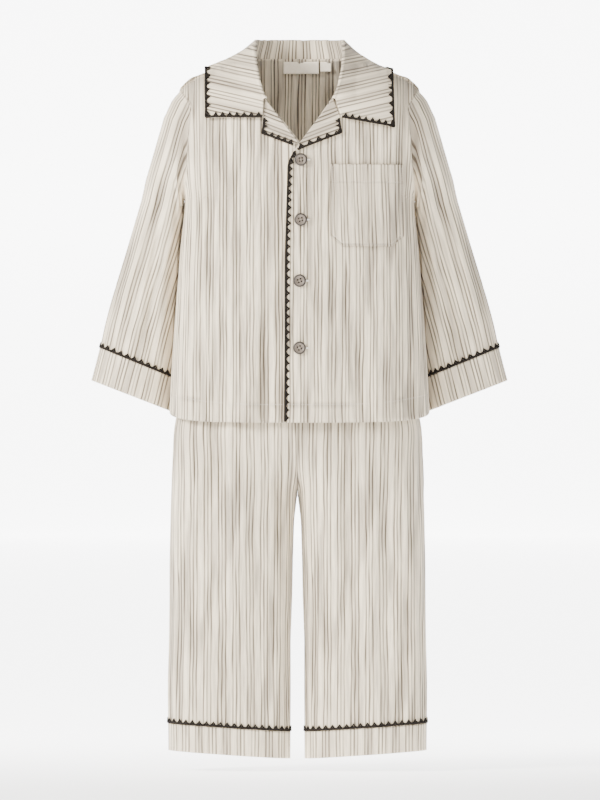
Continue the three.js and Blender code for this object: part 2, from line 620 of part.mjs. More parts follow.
// A toothed strip through its stations, laid on the cloth
function trim(places, { closed = false, lift = LAP, tooth = TRIM.tooth } = {}) {
  const { spine, thick } = TRIM;
  const points = [];
  const faces = [];
  const add = (place, inward, rise) => {
    points.push(place.at.clone().addScaledVector(place.inward, inward).addScaledVector(place.normal, rise));
    return points.length - 1;
  };
  const rails = places.map((place) => ({
    low: [add(place, 0, lift), add(place, spine, lift)],
    high: [add(place, 0, lift + thick), add(place, spine, lift + thick)],
  }));
  const count = closed ? places.length : places.length - 1;
  for (let n = 0; n < count; n++) {
    const a = rails[n];
    const next = (n + 1) % places.length;
    const b = rails[next];
    const middle = {
      at: places[n].at.clone().add(places[next].at).multiplyScalar(0.5),
      inward: places[n].inward.clone().add(places[next].inward).normalize(),
      normal: places[n].normal.clone().add(places[next].normal).normalize(),
    };
    const tipLow = add(middle, spine + tooth, lift);
    const tipHigh = add(middle, spine + tooth, lift + thick);
    faces.push(a.high[0], b.high[0], b.high[1], a.high[0], b.high[1], a.high[1]);
    faces.push(a.high[1], b.high[1], tipHigh);
    faces.push(b.low[0], a.low[0], b.low[1], a.low[0], a.low[1], b.low[1]);
    faces.push(b.low[1], a.low[1], tipLow);
    faces.push(a.low[0], b.low[0], b.high[0], a.low[0], b.high[0], a.high[0]);
    faces.push(a.low[1], a.high[1], tipHigh, a.low[1], tipHigh, tipLow);
    faces.push(tipLow, tipHigh, b.high[1], tipLow, b.high[1], b.low[1]);
  }
  if (!closed) {
    const [a, b] = [rails[0], rails[places.length - 1]];
    faces.push(a.low[0], a.high[0], a.high[1], a.low[0], a.high[1], a.low[1]);
    faces.push(b.low[0], b.high[1], b.high[0], b.low[0], b.low[1], b.high[1]);
  }
  return solid(points, faces);
}

// A place on a surface at(s, w), where s follows the edge and w runs into the cloth
function placeOn(at, s, out) {
  const step = 0.002;
  const here = at(s, 0);
  const along = at(s + step, 0).sub(at(s - step, 0));
  const inward = at(s, 2).sub(here);
  const normal = along.cross(inward).normalize();
  if (normal.dot(out(here)) < 0) normal.negate();
  return { at: here, inward: inward.normalize(), normal };
}

// Stations along the straight runs between corners of an edge on a surface
function cornered(corners, teeth, surface, inside) {
  const runs = corners.slice(1).map((to, k) => {
    const from = corners[k];
    const at = (t) => surface(lerp(from.x, to.x, t), lerp(from.z, to.z, t));
    const way = V(to.x - from.x, 0, to.z - from.z).normalize();
    let across = V(-way.z, 0, way.x);
    const middle = V((from.x + to.x) / 2, 0, (from.z + to.z) / 2);
    if (across.dot(V(inside.x, 0, inside.z).sub(middle)) < 0) across = across.negate();
    return Array.from({ length: teeth[k] + 1 }, (_, n) => {
      const here = at(n / teeth[k]);
      const near = surface(here.x + 2 * across.x, here.z + 2 * across.z);
      const inward = near.sub(here).normalize();
      return { at: here, inward, normal: V(0, -1, 0) };
    });
  });
  const joined = [...runs[0]];
  for (const run of runs.slice(1)) {
    const corner = joined[joined.length - 1];
    const between = corner.inward.clone().add(run[0].inward);
    corner.inward = between.multiplyScalar(2 / between.lengthSq());
    joined.push(...run.slice(1));
  }
  return joined;
}

// Finishes
const striped = { color: 0xe6dfd4, roughness: 0.95, metalness: 0 };
const stripedDeep = { color: 0xdcd3c6, roughness: 0.95, metalness: 0 };
const yarn = { color: 0x35302b, roughness: 0.9, metalness: 0 };
const shell = { color: 0xa59b8f, roughness: 0.45, metalness: 0 };
const tape = { color: 0xf1ece3, roughness: 0.8, metalness: 0 };

const pyjamas = new THREE.Group();
const jacket = new THREE.Group();
const trousers = new THREE.Group();
pyjamas.add(jacket, trousers);

function piece(group, name, geometry, finish) {
  const mesh = new THREE.Mesh(geometry, new THREE.MeshStandardMaterial(finish));
  mesh.name = name;
  group.add(mesh);
  return mesh;
}

const FRONT_WAY = V(0, -1, 0);
const BACK_WAY = V(0, 1, 0);
const underY = (x, z) => bodyY(x, z, -1);

// Jacket body
const panelSquare = (u, v, p) => (v === 1 || (Math.abs(p.y) < 1) ? 'y' : null);
piece(jacket, 'front_under', wall({
  point: frontPoint(-1, underEdge, underY), across: 15, along: 17, square: panelSquare,
  outward: { u: 0.2, v: 0.3, way: FRONT_WAY } }), striped);
piece(jacket, 'front_over', wall({
  point: frontPoint(1, overEdge, overY), across: 15, along: 17, square: panelSquare,
  outward: { u: 0.2, v: 0.3, way: FRONT_WAY } }), striped);
piece(jacket, 'back', wall({
  point: backPoint, across: 24, along: 17, square: panelSquare,
  outward: { u: 0.5, v: 0.3, way: BACK_WAY } }), striped);

// Sleeves and cuffs, on the wearer's right and left
for (const [side, hand] of [['right', -1], ['left', 1]]) {
  const outward = { u: 0, v: 0.5, way: V(hand, 0, 0) };
  const seamStep = 0.01;
  piece(jacket, `sleeve_${side}`, wall({
    point: sleevePoint(hand, 0, CUFF_ROW - seamStep), across: 20, along: 13, closed: true, outward }), striped);
  piece(jacket, `cuff_${side}`, wall({
    point: sleevePoint(hand, CUFF_ROW, SLEEVE.length - 1), across: 20, along: 2, closed: true, outward }),
  stripedDeep);
}

// Collar and lapels
piece(jacket, 'collar', wall({
  point: collarPoint, across: COLLAR_STEPS, along: COLLAR_ROWS,
  outward: { u: 0.5, v: 1, way: BACK_WAY } }), stripedDeep);
const lapelFaces = { right: underY, left: overY };
for (const side of ['right', 'left']) {
  piece(jacket, `lapel_${side}`, wall({
    point: lapelPoint(LAPELS[side], lapelFaces[side]), across: 3, along: 6,
    outward: { u: 0.5, v: 0.5, way: FRONT_WAY } }), stripedDeep);
}

// Pocket
piece(jacket, 'pocket', wall({
  point: pocketPoint, across: 8, along: 5, thick: POCKET.wall,
  outward: { u: 0.5, v: 0.5, way: FRONT_WAY } }), striped);

// Buttons
function buttonGeometry() {
  const disc = new THREE.Shape();
  disc.absarc(0, 0, BUTTON.radius, 0, 2 * Math.PI);
  for (let n = 0; n < 4; n++) {
    const angle = Math.PI / 4 + n * Math.PI / 2;
    const hole = new THREE.Path();
    hole.absarc(BUTTON.holeAt * Math.cos(angle), BUTTON.holeAt * Math.sin(angle), BUTTON.hole, 0, 2 * Math.PI, true);
    disc.holes.push(hole);
  }
  return new THREE.ExtrudeGeometry(disc, {
    depth: BUTTON.thick, bevelEnabled: false, curveSegments: BUTTON.holeSides });
}
for (const place of BUTTON_PLACES) {
  const button = piece(jacket, place.name, buttonGeometry(), shell);
  button.rotation.x = Math.PI / 2;
  button.position.set(place.x, overY(place.x, place.z) - BUTTON.shank, place.z);
}

// Blank labels, inside the back neck
for (const label of LABELS) {
  const behind = (x, z) => bodyY(x, z, 1);
  piece(jacket, label.name, wall({
    point: (u, v) => onFace(behind, lerp(label.left, label.right, u), lerp(label.bottom, label.top, v),
      -(CLOTH + 2 * LAP), 1),
    across: 4, along: 2, thick: LABEL_WALL, outward: { u: 0.5, v: 0.5, way: BACK_WAY } }), tape);
}

// Trousers: the seams at the sides and between the legs stand square, and so does the centre seam
const legSquare = (u, v, p) => {
  if (u === 0 || (u === 1 && Math.abs(p.y) < 1)) return 'y';
  return u === 1 ? 'x' : null;
};
for (const [side, hand] of [['right', -1], ['left', 1]]) {
  piece(trousers, `trouser_front_${side}`, wall({
    point: trouserPoint(hand, -1), across: 10, along: 18, square: legSquare,
    outward: { u: 0.5, v: 0.2, way: FRONT_WAY } }), striped);
  piece(trousers, `trouser_back_${side}`, wall({
    point: trouserPoint(hand, 1), across: 10, along: 18, square: legSquare,
    outward: { u: 0.5, v: 0.2, way: BACK_WAY } }), striped);
  piece(trousers, `leg_band_${side}`, wall({
    point: (u, v) => legRing(hand, u, (x) => lerp(LEG_HEM, LEG_SEAM - 2 * SEAM, v) - seamDrop(x)),
    across: 22, along: 2, closed: true, outward: { u: 0, v: 0.5, way: V(hand, 0, 0) } }), stripedDeep);
}
piece(trousers, 'waistband', wall({
  point: (u, v) => waistRing(u, lerp(WAIST_TOP - WAISTBAND, WAIST_TOP, v)), across: 24, along: 2,
  thick: ELASTIC, closed: true, outward: { u: 0.25, v: 0.5, way: V(1, 0, 0) } }), stripedDeep);

// The flat steps of a wall's outer face, so that what lies on it follows them
function steps(point, across, along) {
  const grid = (i, j) => point(i / across, j / along);
  return (u, v) => {
    const i = clamp(Math.floor(u * across), 0, across - 1);
    const j = clamp(Math.floor(v * along), 0, along - 1);
    const [s, t] = [u * across - i, v * along - j];
    return grid(i, j).lerp(grid(i + 1, j), s).lerp(grid(i, j + 1).lerp(grid(i + 1, j + 1), s), t);
  };
}
const collarFace = steps(collarPoint, COLLAR_STEPS, COLLAR_ROWS);

// Trim on the collar's edge, from notch to notch
function collarEdge(from, to, teeth) {
  const path = (t) => {
    const u = lerp(from, to, t);
    const at = collarFace(u, 1);
    const step = 0.002;
    const along = collarFace(clamp(u + step, from, to), 1).sub(collarFace(clamp(u - step, from, to), 1)).normalize();
    const toFold = collarFace(u, 0.9).sub(at);
    const inward = toFold.addScaledVector(along, -toFold.dot(along)).normalize();
    const normal = along.cross(inward).normalize();
    const out = V(at.x / 2, at.y, at.z + 60);
    if (normal.dot(out) < 0) normal.negate();
    return { at, inward, normal };
  };
  return stations(path, teeth, false);
}
const pointShare = COLLAR_SHARES.point / 2;
const collarRuns = [
  collarEdge(0.001, 0.5 - pointShare, TEETH.collarFront),
  collarEdge(0.5 - pointShare, 0.5 + pointShare, TEETH.collarRound),
  collarEdge(0.5 + pointShare, 0.999, TEETH.collarFront),
];
const collarPlaces = [...collarRuns[0]];
for (const run of collarRuns.slice(1)) {
  const corner = collarPlaces[collarPlaces.length - 1];
  const between = corner.inward.clone().add(run[0].inward);
  corner.inward = between.multiplyScalar(2 / between.lengthSq());
  corner.normal = corner.normal.clone().add(run[0].normal).normalize();
  collarPlaces.push(...run.slice(1));
}
piece(jacket, 'trim_collar', trim(collarPlaces, { lift: 1.5 * ROUND_LIFT }), yarn);

// Trim on the lapels and down the over front
for (const [side, corners] of Object.entries(LAPELS)) {
  const face = lapelFaces[side];
  const surface = (x, z) => onFace(face, x, z, CLOTH + 2 * LAP);
  const inside = { x: corners.gorge.x * 0.6 + corners.start.x * 0.4, z: corners.gorge.z * 0.6 + corners.start.z * 0.4 };
  piece(jacket, `trim_lapel_${side}`, trim(
    cornered([corners.top, corners.tip, corners.end], [TEETH.lapelSide, TEETH.lapelFoot], surface, inside),
    { lift: 2 * LAP }), yarn);
}
piece(jacket, 'trim_placket', trim(stations((t) => placeOn((s, w) => {
  const z = lerp(PLACKET_RUN.top, PLACKET_RUN.bottom, s);
  const x = overEdge(z) + w + PLACKET_RUN.inset;
  return V(x, overY(x, z), z);
}, t, () => FRONT_WAY), TEETH.placket, false), { tooth: PLACKET_TOOTH }), yarn);

// Trim round the cuffs and the leg bands, teeth up
for (const [side, hand] of [['right', -1], ['left', 1]]) {
  const cuffAt = (s, w) => {
    const row = CUFF_ROW - w / CUFF_DEEP;
    return sleevePoint(hand, row, row)(s, 0);
  };
  const cuffOut = (p) => p.clone().sub(V(hand * CUFF_MIDDLE.x, SLEEVE[CUFF_ROW].y, CUFF_MIDDLE.z));
  piece(jacket, `trim_cuff_${side}`, trim(stations((t) => placeOn(cuffAt, t, cuffOut), TEETH.cuff, true),
    { closed: true, lift: ROUND_LIFT }), yarn);
  const legAt = (s, w) => legRing(hand, s, (x) => LEG_SEAM - seamDrop(x) + w);
  const legOut = (p) => p.clone().sub(V(hand * LEG_MIDDLE + TROUSER_X, 0, p.z));
  piece(trousers, `trim_leg_${side}`, trim(stations((t) => placeOn(legAt, t, legOut), TEETH.leg, true),
    { closed: true, lift: ROUND_LIFT }), yarn);
}

export default pyjamas;
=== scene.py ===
"""Looks of a child's pyjama set: striped crinkled cotton, dark pointed trim and four buttons.

The jacket and the trousers are filled out and hollow. Sizes are in millimetres in the classes, and
become metres where a mesh is made. +X is the wearer's left, the front faces -Y and +Z is up.
"""

import json
import logging
import math
from dataclasses import dataclass, field
from enum import Enum
from typing import Any, Callable, Sequence

import bmesh
import bpy
import numpy as np
from mathutils import Matrix, Vector

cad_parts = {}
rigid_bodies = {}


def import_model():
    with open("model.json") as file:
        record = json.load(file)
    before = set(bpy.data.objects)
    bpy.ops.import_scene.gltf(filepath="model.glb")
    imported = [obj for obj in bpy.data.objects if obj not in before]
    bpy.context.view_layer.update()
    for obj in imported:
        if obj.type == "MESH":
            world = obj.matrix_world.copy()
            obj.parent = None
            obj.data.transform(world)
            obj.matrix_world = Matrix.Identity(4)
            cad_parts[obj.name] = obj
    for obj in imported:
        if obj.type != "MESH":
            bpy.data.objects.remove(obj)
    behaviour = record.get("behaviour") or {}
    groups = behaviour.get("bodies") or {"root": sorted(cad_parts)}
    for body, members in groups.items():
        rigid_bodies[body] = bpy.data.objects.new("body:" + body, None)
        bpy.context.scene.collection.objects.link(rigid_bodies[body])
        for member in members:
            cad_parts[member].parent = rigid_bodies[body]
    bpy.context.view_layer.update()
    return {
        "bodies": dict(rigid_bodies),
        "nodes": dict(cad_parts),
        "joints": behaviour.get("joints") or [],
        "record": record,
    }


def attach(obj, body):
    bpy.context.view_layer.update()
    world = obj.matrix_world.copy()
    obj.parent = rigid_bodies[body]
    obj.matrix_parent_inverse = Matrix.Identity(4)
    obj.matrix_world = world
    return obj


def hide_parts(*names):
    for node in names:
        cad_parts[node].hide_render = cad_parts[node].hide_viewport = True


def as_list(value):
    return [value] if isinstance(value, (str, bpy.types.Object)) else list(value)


LOG = logging.getLogger("pyjamas")
MM = 0.001
Array = np.ndarray
Way = Sequence[float]
Pair = tuple[float, float]
Triple = tuple[float, float, float]
Colour = tuple[int, int, int]
Face = Callable[[Array, Array], Array]             # depth for places across and heights
Surface = Callable[[Array, Array], Array]          # points for shares across and along
Pattern = Callable[[Array, Array, Array], Array]   # grain for those shares and their points
Finish = bpy.types.Material
Mesh = bpy.types.Mesh
Piece = bpy.types.Object
Build = bmesh.types.BMesh

CLOTH = 1.6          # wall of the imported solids
SEAM = 0.3           # space between two panels at their seam
LAP = 0.4            # space between a piece and the one that it lies on
OVAL = 2.4           # roundness of the body and limb sections, 2 is an ellipse
SHELL = 1.2          # thickness of the shown cloth
TRIM_LIFT = 0.35     # how far the edging is laid out from the cloth below it
FRONT = (0, -1, 0)


# Maths on arrays of points


def lerp(a: Any, b: Any, t: Any) -> Any:
    """Returns the value a share t of the way from a to b."""
    return a + (b - a) * t


def between(x: Any, start: float, end: float) -> Any:
    """Returns how far x lies on its way from start to end, held between 0 and 1."""
    return np.clip((np.asarray(x, float) - start) / (end - start), 0, 1)


def smooth(x: Any, start: float, end: float) -> Any:
    """Returns a soft step from 0 at the lower of start and end to 1 at the higher."""
    t = between(x, min(start, end), max(start, end))
    return t * t * (3 - 2 * t)


def bell(share: Any) -> Any:
    """Returns a soft bump that is 1 at 0 and nearly gone at 2."""
    return np.exp(-(share**2))


def stack(x: Any, y: Any, z: Any) -> Array:
    """Returns points from their three coordinates."""
    return np.stack(np.broadcast_arrays(x, y, z), axis=-1).astype(float)


def dot(a: Array, b: Array) -> Array:
    """Returns the dot products of rows, kept as a column."""
    return np.sum(a * b, axis=-1, keepdims=True)


def unit(a: Array) -> Array:
    """Returns vectors of length 1 in the same ways."""
    return a / np.maximum(np.linalg.norm(a, axis=-1, keepdims=True), 1e-12)


def lengths(points: Array) -> Array:
    """Returns the length along a line of points, from 0 at the first."""
    return np.concatenate([[0], np.cumsum(np.linalg.norm(np.diff(points, axis=0), axis=1))])


def oval(share: Any) -> Array:
    """Returns the height of a section over its middle plane, as a share of its depth."""
    near = np.minimum(1, np.abs(share))
    return np.maximum(0, 1 - near**OVAL) ** (1 / OVAL)


class Line:
    """A smooth or straight line through the places of a table."""

    def __init__(self, at: Sequence[float], values: Sequence[float], straight: bool = False) -> None:
        """Sorts the places and works out the slope at each.

        Args:
            at: Where the values are given.
            values: The values there.
            straight: Whether the line runs straight from place to place.
        """
        order = np.argsort(at)
        self.at = np.asarray(at, float)[order]
        self.values = np.asarray(values, float)[order]
        self.straight = straight
        index = np.arange(len(self.at))
        low, high = np.maximum(index - 1, 0), np.minimum(index + 1, len(index) - 1)
        self.slopes = (self.values[high] - self.values[low]) / (self.at[high] - self.at[low])

    def __call__(self, where: Any) -> Array:
        """Returns the values at these places, held at the table's ends."""
        x = np.clip(where, self.at[0], self.at[-1])
        i = np.clip(np.searchsorted(self.at, x, side="right") - 1, 0, len(self.at) - 2)
        step = self.at[i + 1] - self.at[i]
        t = (x - self.at[i]) / step
        a, b = self.values[i], self.values[i + 1]
        if self.straight:
            return lerp(a, b, t)
        t2, t3 = t * t, t * t * t
        bend = (t3 - 2 * t2 + t) * self.slopes[i] + (t3 - t2) * self.slopes[i + 1]
        return (2 * t3 - 3 * t2 + 1) * a + (3 * t2 - 2 * t3) * b + step * bend


class Table:
    """A short table of sizes with named columns."""

    def __init__(self, columns: str, *rows: Sequence[float]) -> None:
        """Keeps the columns by name, and the rows in their order."""
        self.rows = rows
        self.columns = dict(zip(columns.split(), np.array(rows, float).T))

    def line(self, at: str, column: str, straight: bool = False) -> Line:
        """Returns the line of one column over another."""
        return Line(self.columns[at], self.columns[column], straight)


class Crinkle:
    """Long uneven crinkles of a two-layer cotton: streaks that run along the cloth."""

    def __init__(self, seed: int, wide: float, long: float, columns: int = 97, rows: int = 31) -> None:
        """Draws the streaks.

        Args:
            seed: Which set of streaks is drawn.
            wide: The usual width of a streak in millimetres.
            long: The usual length of a streak in millimetres.
            columns: How many streaks lie side by side before they repeat.
            rows: How many changes a streak has before it repeats.
        """
        draw = np.random.default_rng(seed)
        self.wide, self.long, self.columns, self.rows = wide, long, columns, rows
        self.heights = draw.random((columns, rows))
        self.starts = draw.random(columns) * rows

    def streak(self, column: Array, along: Array) -> Array:
        """Returns the height of one streak at places along it."""
        column = np.mod(column, self.columns)
        place = along / self.long + self.starts[column]
        row = np.floor(place).astype(int)
        here = self.heights[column, np.mod(row, self.rows)]
        after = self.heights[column, np.mod(row + 1, self.rows)]
        return lerp(here, after, smooth(place - row, 0, 1))

    def __call__(self, across: Array, along: Array) -> Array:
        """Returns the height at places on the cloth, from 0 in a hollow to 1 on a ridge."""
        place = across / self.wide
        column = np.floor(place).astype(int)
        return lerp(self.streak(column, along), self.streak(column + 1, along), smooth(place - column, 0, 1))


BROAD_CRINKLE = Crinkle(7, 8.0, 80)
FINE_CRINKLE = Crinkle(19, 3.9, 48)
BROAD_SHARE = 0.62           # of the height; the fine crinkles make up the rest
EVEN_SHARE = 0.45            # of the depth, which grows evenly; the rest falls in from ridge to floor
FLOOR_AT, RIDGE_AT = 0.22, 0.55


def hollows(across: Array, along: Array) -> Array:
    """Returns how deep the crinkles are at places on the cloth, from 0 to 1."""
    broad, fine = BROAD_CRINKLE(across, along), FINE_CRINKLE(across, along)
    height = BROAD_SHARE * broad + (1 - BROAD_SHARE) * fine
    return EVEN_SHARE * (1 - height) + (1 - EVEN_SHARE) * (1 - smooth(height, FLOOR_AT, RIDGE_AT))


FOLD_COLUMNS = "top bottom x_top x_bottom wide deep wave"
FOLD_RISE = 0.6              # share of a fold's length over which it rises
FOLD_TAIL = 1.2              # share at which it has died out
FOLD_WAVE = 31               # height over which its line wanders, as a wave's length over 2 pi


def relief(folds: Table, x: Array, z: Array, side: float) -> Array:
    """Returns how far soft folds stand off a face.

    Each fold fades in from its upper end and out past its lower one, and its line wanders a little.

    Args:
        folds: The table of folds, in the columns of FOLD_COLUMNS.
        x: Places across the face.
        z: Heights on the face.
        side: -1 on a front, 1 on a back.
    """
    total = np.zeros(np.broadcast(x, z).shape)
    for top, bottom, x_top, x_bottom, wide, deep, wave in folds.rows:
        share = np.clip((top - z) / (top - bottom), 0, FOLD_TAIL)
        middle = lerp(x_top, x_bottom, share) + wave * np.sin(z / FOLD_WAVE + x_top)
        shape = bell((x - middle) / wide)
        total = total + deep * shape * smooth(share, 0, FOLD_RISE) * (1 - smooth(share, 1, FOLD_TAIL))
    return side * total


class Side(Enum):
    """The two sides of the set, as the wearer has them."""

    RIGHT = -1
    LEFT = 1

    @property
    def word(self) -> str:
        """The word that names a piece on this side."""
        return self.name.lower()

    @property
    def front(self) -> str:
        """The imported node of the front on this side."""
        return "front_under" if self is Side.RIGHT else "front_over"


# Materials


def maths(operation: str, swapped: bool = False) -> Callable[..., "Value"]:
    """Returns a method that adds one Math node for its value and perhaps another.

    Args:
        operation: Blender's name of the operation.
        swapped: Whether the other value comes first.
    """
    def apply(own: "Value", *other: Any) -> "Value":
        """Adds the node and returns its result."""
        values = [*other, own] if swapped else [own, *other]
        return own.shader.node("ShaderNodeMath", {"operation": operation}, values)
    return apply


class Value:
    """A number in a node tree that takes part in written maths."""

    def __init__(self, shader: "Shader", socket: bpy.types.NodeSocket) -> None:
        """Wraps an output socket of the shader's tree."""
        self.shader = shader
        self.socket = socket

    __add__ = __radd__ = maths("ADD")
    __sub__ = maths("SUBTRACT")
    __rsub__ = maths("SUBTRACT", swapped=True)
    __mul__ = __rmul__ = maths("MULTIPLY")
    __truediv__ = maths("DIVIDE")
    __abs__ = maths("ABSOLUTE")
    fraction = maths("FRACT")
    lower = maths("MINIMUM")

    def step(self, start: float, end: float, low: float = 0.0, high: float = 1.0) -> "Value":
        """Returns a soft step from low at start to high at end."""
        settings = {"interpolation_type": "SMOOTHSTEP", "clamp": True}
        return self.shader.node("ShaderNodeMapRange", settings, [self, start, end, low, high])


class Shader:
    """A material's node tree with one Principled surface."""

    def __init__(self, name: str) -> None:
        """Makes the material and keeps its surface node."""
        self.material = bpy.data.materials.new(name)
        self.material.use_nodes = True
        self.tree = self.material.node_tree
        self.surface = self.tree.nodes["Principled BSDF"]

    def node(self, kind: str, settings: dict[str, Any], inputs: Any = (), output: Any = 0) -> Value:
        """Adds a node.

        Args:
            kind: Blender's name of the node's type.
            settings: The node's own settings, which are set first.
            inputs: A list of values in the sockets' order, or a dict of them by name.
            output: The output to return, by place or name.

        Returns:
            The chosen output.
        """
        made = self.tree.nodes.new(kind)
        for name, value in settings.items():
            setattr(made, name, value)
        pairs = inputs.items() if isinstance(inputs, dict) else enumerate(inputs)
        for key, value in pairs:
            self.feed(made.inputs[key], value)
        return Value(self, made.outputs[output])

    def feed(self, socket: bpy.types.NodeSocket, value: Any) -> None:
        """Links a value to a socket, or sets the socket to a plain number or colour."""
        if isinstance(value, Value):
            self.tree.links.new(value.socket, socket)
        else:
            socket.default_value = value

    def set(self, **inputs: Any) -> None:
        """Feeds sockets of the surface; an underscore in a name stands for a space."""
        for name, value in inputs.items():
            self.feed(self.surface.inputs[name.replace("_", " ")], value)

    def vector(self, x: Any, y: Any, z: Any = 0.0) -> Value:
        """Joins three numbers into a vector."""
        return self.node("ShaderNodeCombineXYZ", {}, [x, y, z])

    def noise(self, detail: float, *places: Value) -> Value:
        """Returns soft noise from 0 to 1 over two or three numbers."""
        inputs = {"Vector": self.vector(*places), "Scale": 1.0, "Detail": detail}
        return self.node("ShaderNodeTexNoise", {}, inputs, "Fac")

    def mix(self, share: Value, a: Any, b: Any) -> Value:
        """Returns a colour between two."""
        return self.node("ShaderNodeMix", {"data_type": "RGBA"}, {0: share, 6: a, 7: b}, 2)

    def bump(self, height: Value, distance: float, strength: float) -> Value:
        """Returns a normal raised by a height."""
        inputs = {"Height": height, "Distance": distance, "Strength": strength}
        return self.node("ShaderNodeBump", {}, inputs)

    def place(self) -> tuple[Value, Value, Value]:
        """Returns the object coordinates in millimetres."""
        at = self.node("ShaderNodeTexCoord", {}, (), "Object")
        return self._parts(at)

    def grain(self) -> tuple[Value, Value]:
        """Returns how far a place lies across and along the cloth, in millimetres."""
        at = self.node("ShaderNodeUVMap", {"uv_map": "grain"})
        across, along, _ = self._parts(at)
        return across, along

    def attribute(self, name: str) -> Value:
        """Returns a number that the mesh keeps at its points."""
        return self.node("ShaderNodeAttribute", {"attribute_name": name}, (), "Fac")

    def _parts(self, at: Value) -> tuple[Value, Value, Value]:
        """Splits a vector in metres into numbers in millimetres."""
        split = self.node("ShaderNodeSeparateXYZ", {}, [at]).socket.node
        x, y, z = (Value(self, output) / MM for output in split.outputs)
        return x, y, z


def tint(red: int, green: int, blue: int) -> tuple[float, float, float, float]:
    """Returns a colour for a shader from its screen values.

    Args:
        red: Screen red, 0 to 255.
        green: Screen green, 0 to 255.
        blue: Screen blue, 0 to 255.
    """
    def linear(value: int) -> float:
        """Undoes the screen's curve."""
        share = value / 255
        return share / 12.92 if share <= 0.04045 else ((share + 0.055) / 1.055) ** 2.4
    return (linear(red), linear(green), linear(blue), 1.0)


@dataclass(frozen=True)
class StripedGauze:
    """Two-layer crinkled cotton with groups of three thin stripes, sizes in millimetres.

    The stripes wander by a slow drift and a quicker sway. A whole number of groups is added to a
    place before its fraction is read, which keeps it above 0.
    """

    name: str = "striped_gauze"
    ground: Colour = (245, 230, 202)
    # The next colour is painted shade: the cloth's tone in crinkle hollows, grooves and other shaded places.
    painted_shade: Colour = (176, 164, 145)
    stripe: Colour = (84, 74, 62)
    period: float = 16.1
    spacing: float = 3.9
    wander: float = 1.5
    drift: float = 3.0
    sway: float = 1.6
    whole: float = 1000
    width: float = 1.3
    crinkle: float = 1.8
    shade: float = 0.75

    def material(self) -> Finish:
        """Builds the cloth: stripes, crinkles along them with painted shade, and a fine weave."""
        sh = Shader(self.name)
        across, along = sh.grain()
        # The crease attribute is painted shade: the crinkles' hollows and the grooves at seams, hems and the
        # fork.
        crease = sh.attribute("crease")
        drift = sh.noise(1.0, across * 0.02, along * 0.007) - 0.5
        sway = sh.noise(1.0, across * 0.10, along * 0.02) - 0.5
        shifted = across + drift * self.wander * self.drift + sway * self.wander * self.sway
        inside = ((shifted / self.period + self.whole).fraction() - 0.5) * self.period
        gap = abs(inside).lower(abs(inside - self.spacing)).lower(abs(inside + self.spacing))
        broken = sh.noise(2.0, across * 0.3, along * 0.014).step(0.3, 0.65, 0.4, 0.85)
        # Stripes are painted a little darker in the hollows, as painted shade.
        line = gap.step(self.width * 0.3, self.width, 1.0, 0.0) * (broken + crease * 0.25)
        # Painted shade: the ridges noise, which is also the bump's height, and the crease attribute darken the
        # cloth towards the shade colour.
        ridges = sh.noise(3.0, across * 0.28, along * 0.02)
        crinkle_shade = ridges.step(0.35, 0.68, 1.0, 0.0) * 0.45 + crease * self.shade
        cloth = sh.mix(crinkle_shade, tint(*self.ground), tint(*self.painted_shade))
        colour = sh.mix(line, cloth, tint(*self.stripe))
        weave = sh.noise(1.0, across * 1.7, along * 0.9)
        height = ridges + weave * 0.1 - line * 0.1
        sh.set(Base_Color=colour, Roughness=0.93, Normal=sh.bump(height, self.crinkle * MM, 0.85))
        sh.set(Sheen_Weight=0.15, Sheen_Roughness=0.6, Specular_IOR_Level=0.25)
        return sh.material


@dataclass(frozen=True)
class EdgingYarn:
    """Dark twisted yarn of the pointed edging."""

    name: str = "edging_yarn"
    dark: Colour = (24, 20, 16)
    worn: Colour = (50, 43, 35)

    def material(self) -> Finish:
        """Builds the yarn with a fine twist and a lighter bloom."""
        sh = Shader(self.name)
        x, y, z = sh.place()
        fine = sh.noise(2.0, x * 1.4, y * 1.4, z * 1.4)
        twist = sh.noise(1.0, x * 4.5, y * 4.5, z * 2.0)
        colour = sh.mix(fine.step(0.45, 0.8), tint(*self.dark), tint(*self.worn))
        sh.set(Base_Color=colour, Roughness=0.9, Normal=sh.bump(twist + fine * 0.5, 0.35 * MM, 0.8))
        sh.set(Specular_IOR_Level=0.2)
        return sh.material


@dataclass(frozen=True)
class ShellButton:
    """Taupe button with soft clouds, like corozo or shell."""

    name: str = "button_shell"
    light: Colour = (118, 106, 94)
    dark: Colour = (88, 78, 67)

    def material(self) -> Finish:
        """Builds the button's clouded, half gloss surface."""
        sh = Shader(self.name)
        x, y, z = sh.place()
        cloud = sh.noise(3.0, x * 0.25, y * 0.25, z * 0.4)
        grain = sh.noise(2.0, x * 1.8, y * 1.8, z * 0.5)
        colour = sh.mix(cloud.step(0.3, 0.7) * 0.7 + grain * 0.3, tint(*self.light), tint(*self.dark))
        sh.set(Base_Color=colour, Roughness=cloud.step(0.2, 0.8, 0.38, 0.52))
        sh.set(Normal=sh.bump(grain, 0.08 * MM, 0.5))
        return sh.material


@dataclass(frozen=True)
class PlainThread:
    """Sewing thread or woven tape in one pale colour, with a fine rib."""

    name: str
    colour: Colour
    deep: Colour
    rib: float = 2.4

    def material(self) -> Finish:
        """Builds the thread or tape."""
        sh = Shader(self.name)
        x, y, z = sh.place()
        soft = sh.noise(2.0, x * 0.3, y * 0.3, z * 0.3)
        rib = sh.noise(1.0, x * 0.6, y * 0.6, z * self.rib)
        sh.set(Base_Color=sh.mix(soft.step(0.3, 0.7), tint(*self.colour), tint(*self.deep)))
        sh.set(Roughness=0.85, Normal=sh.bump(rib, 0.15 * MM, 0.6), Specular_IOR_Level=0.3)
        return sh.material


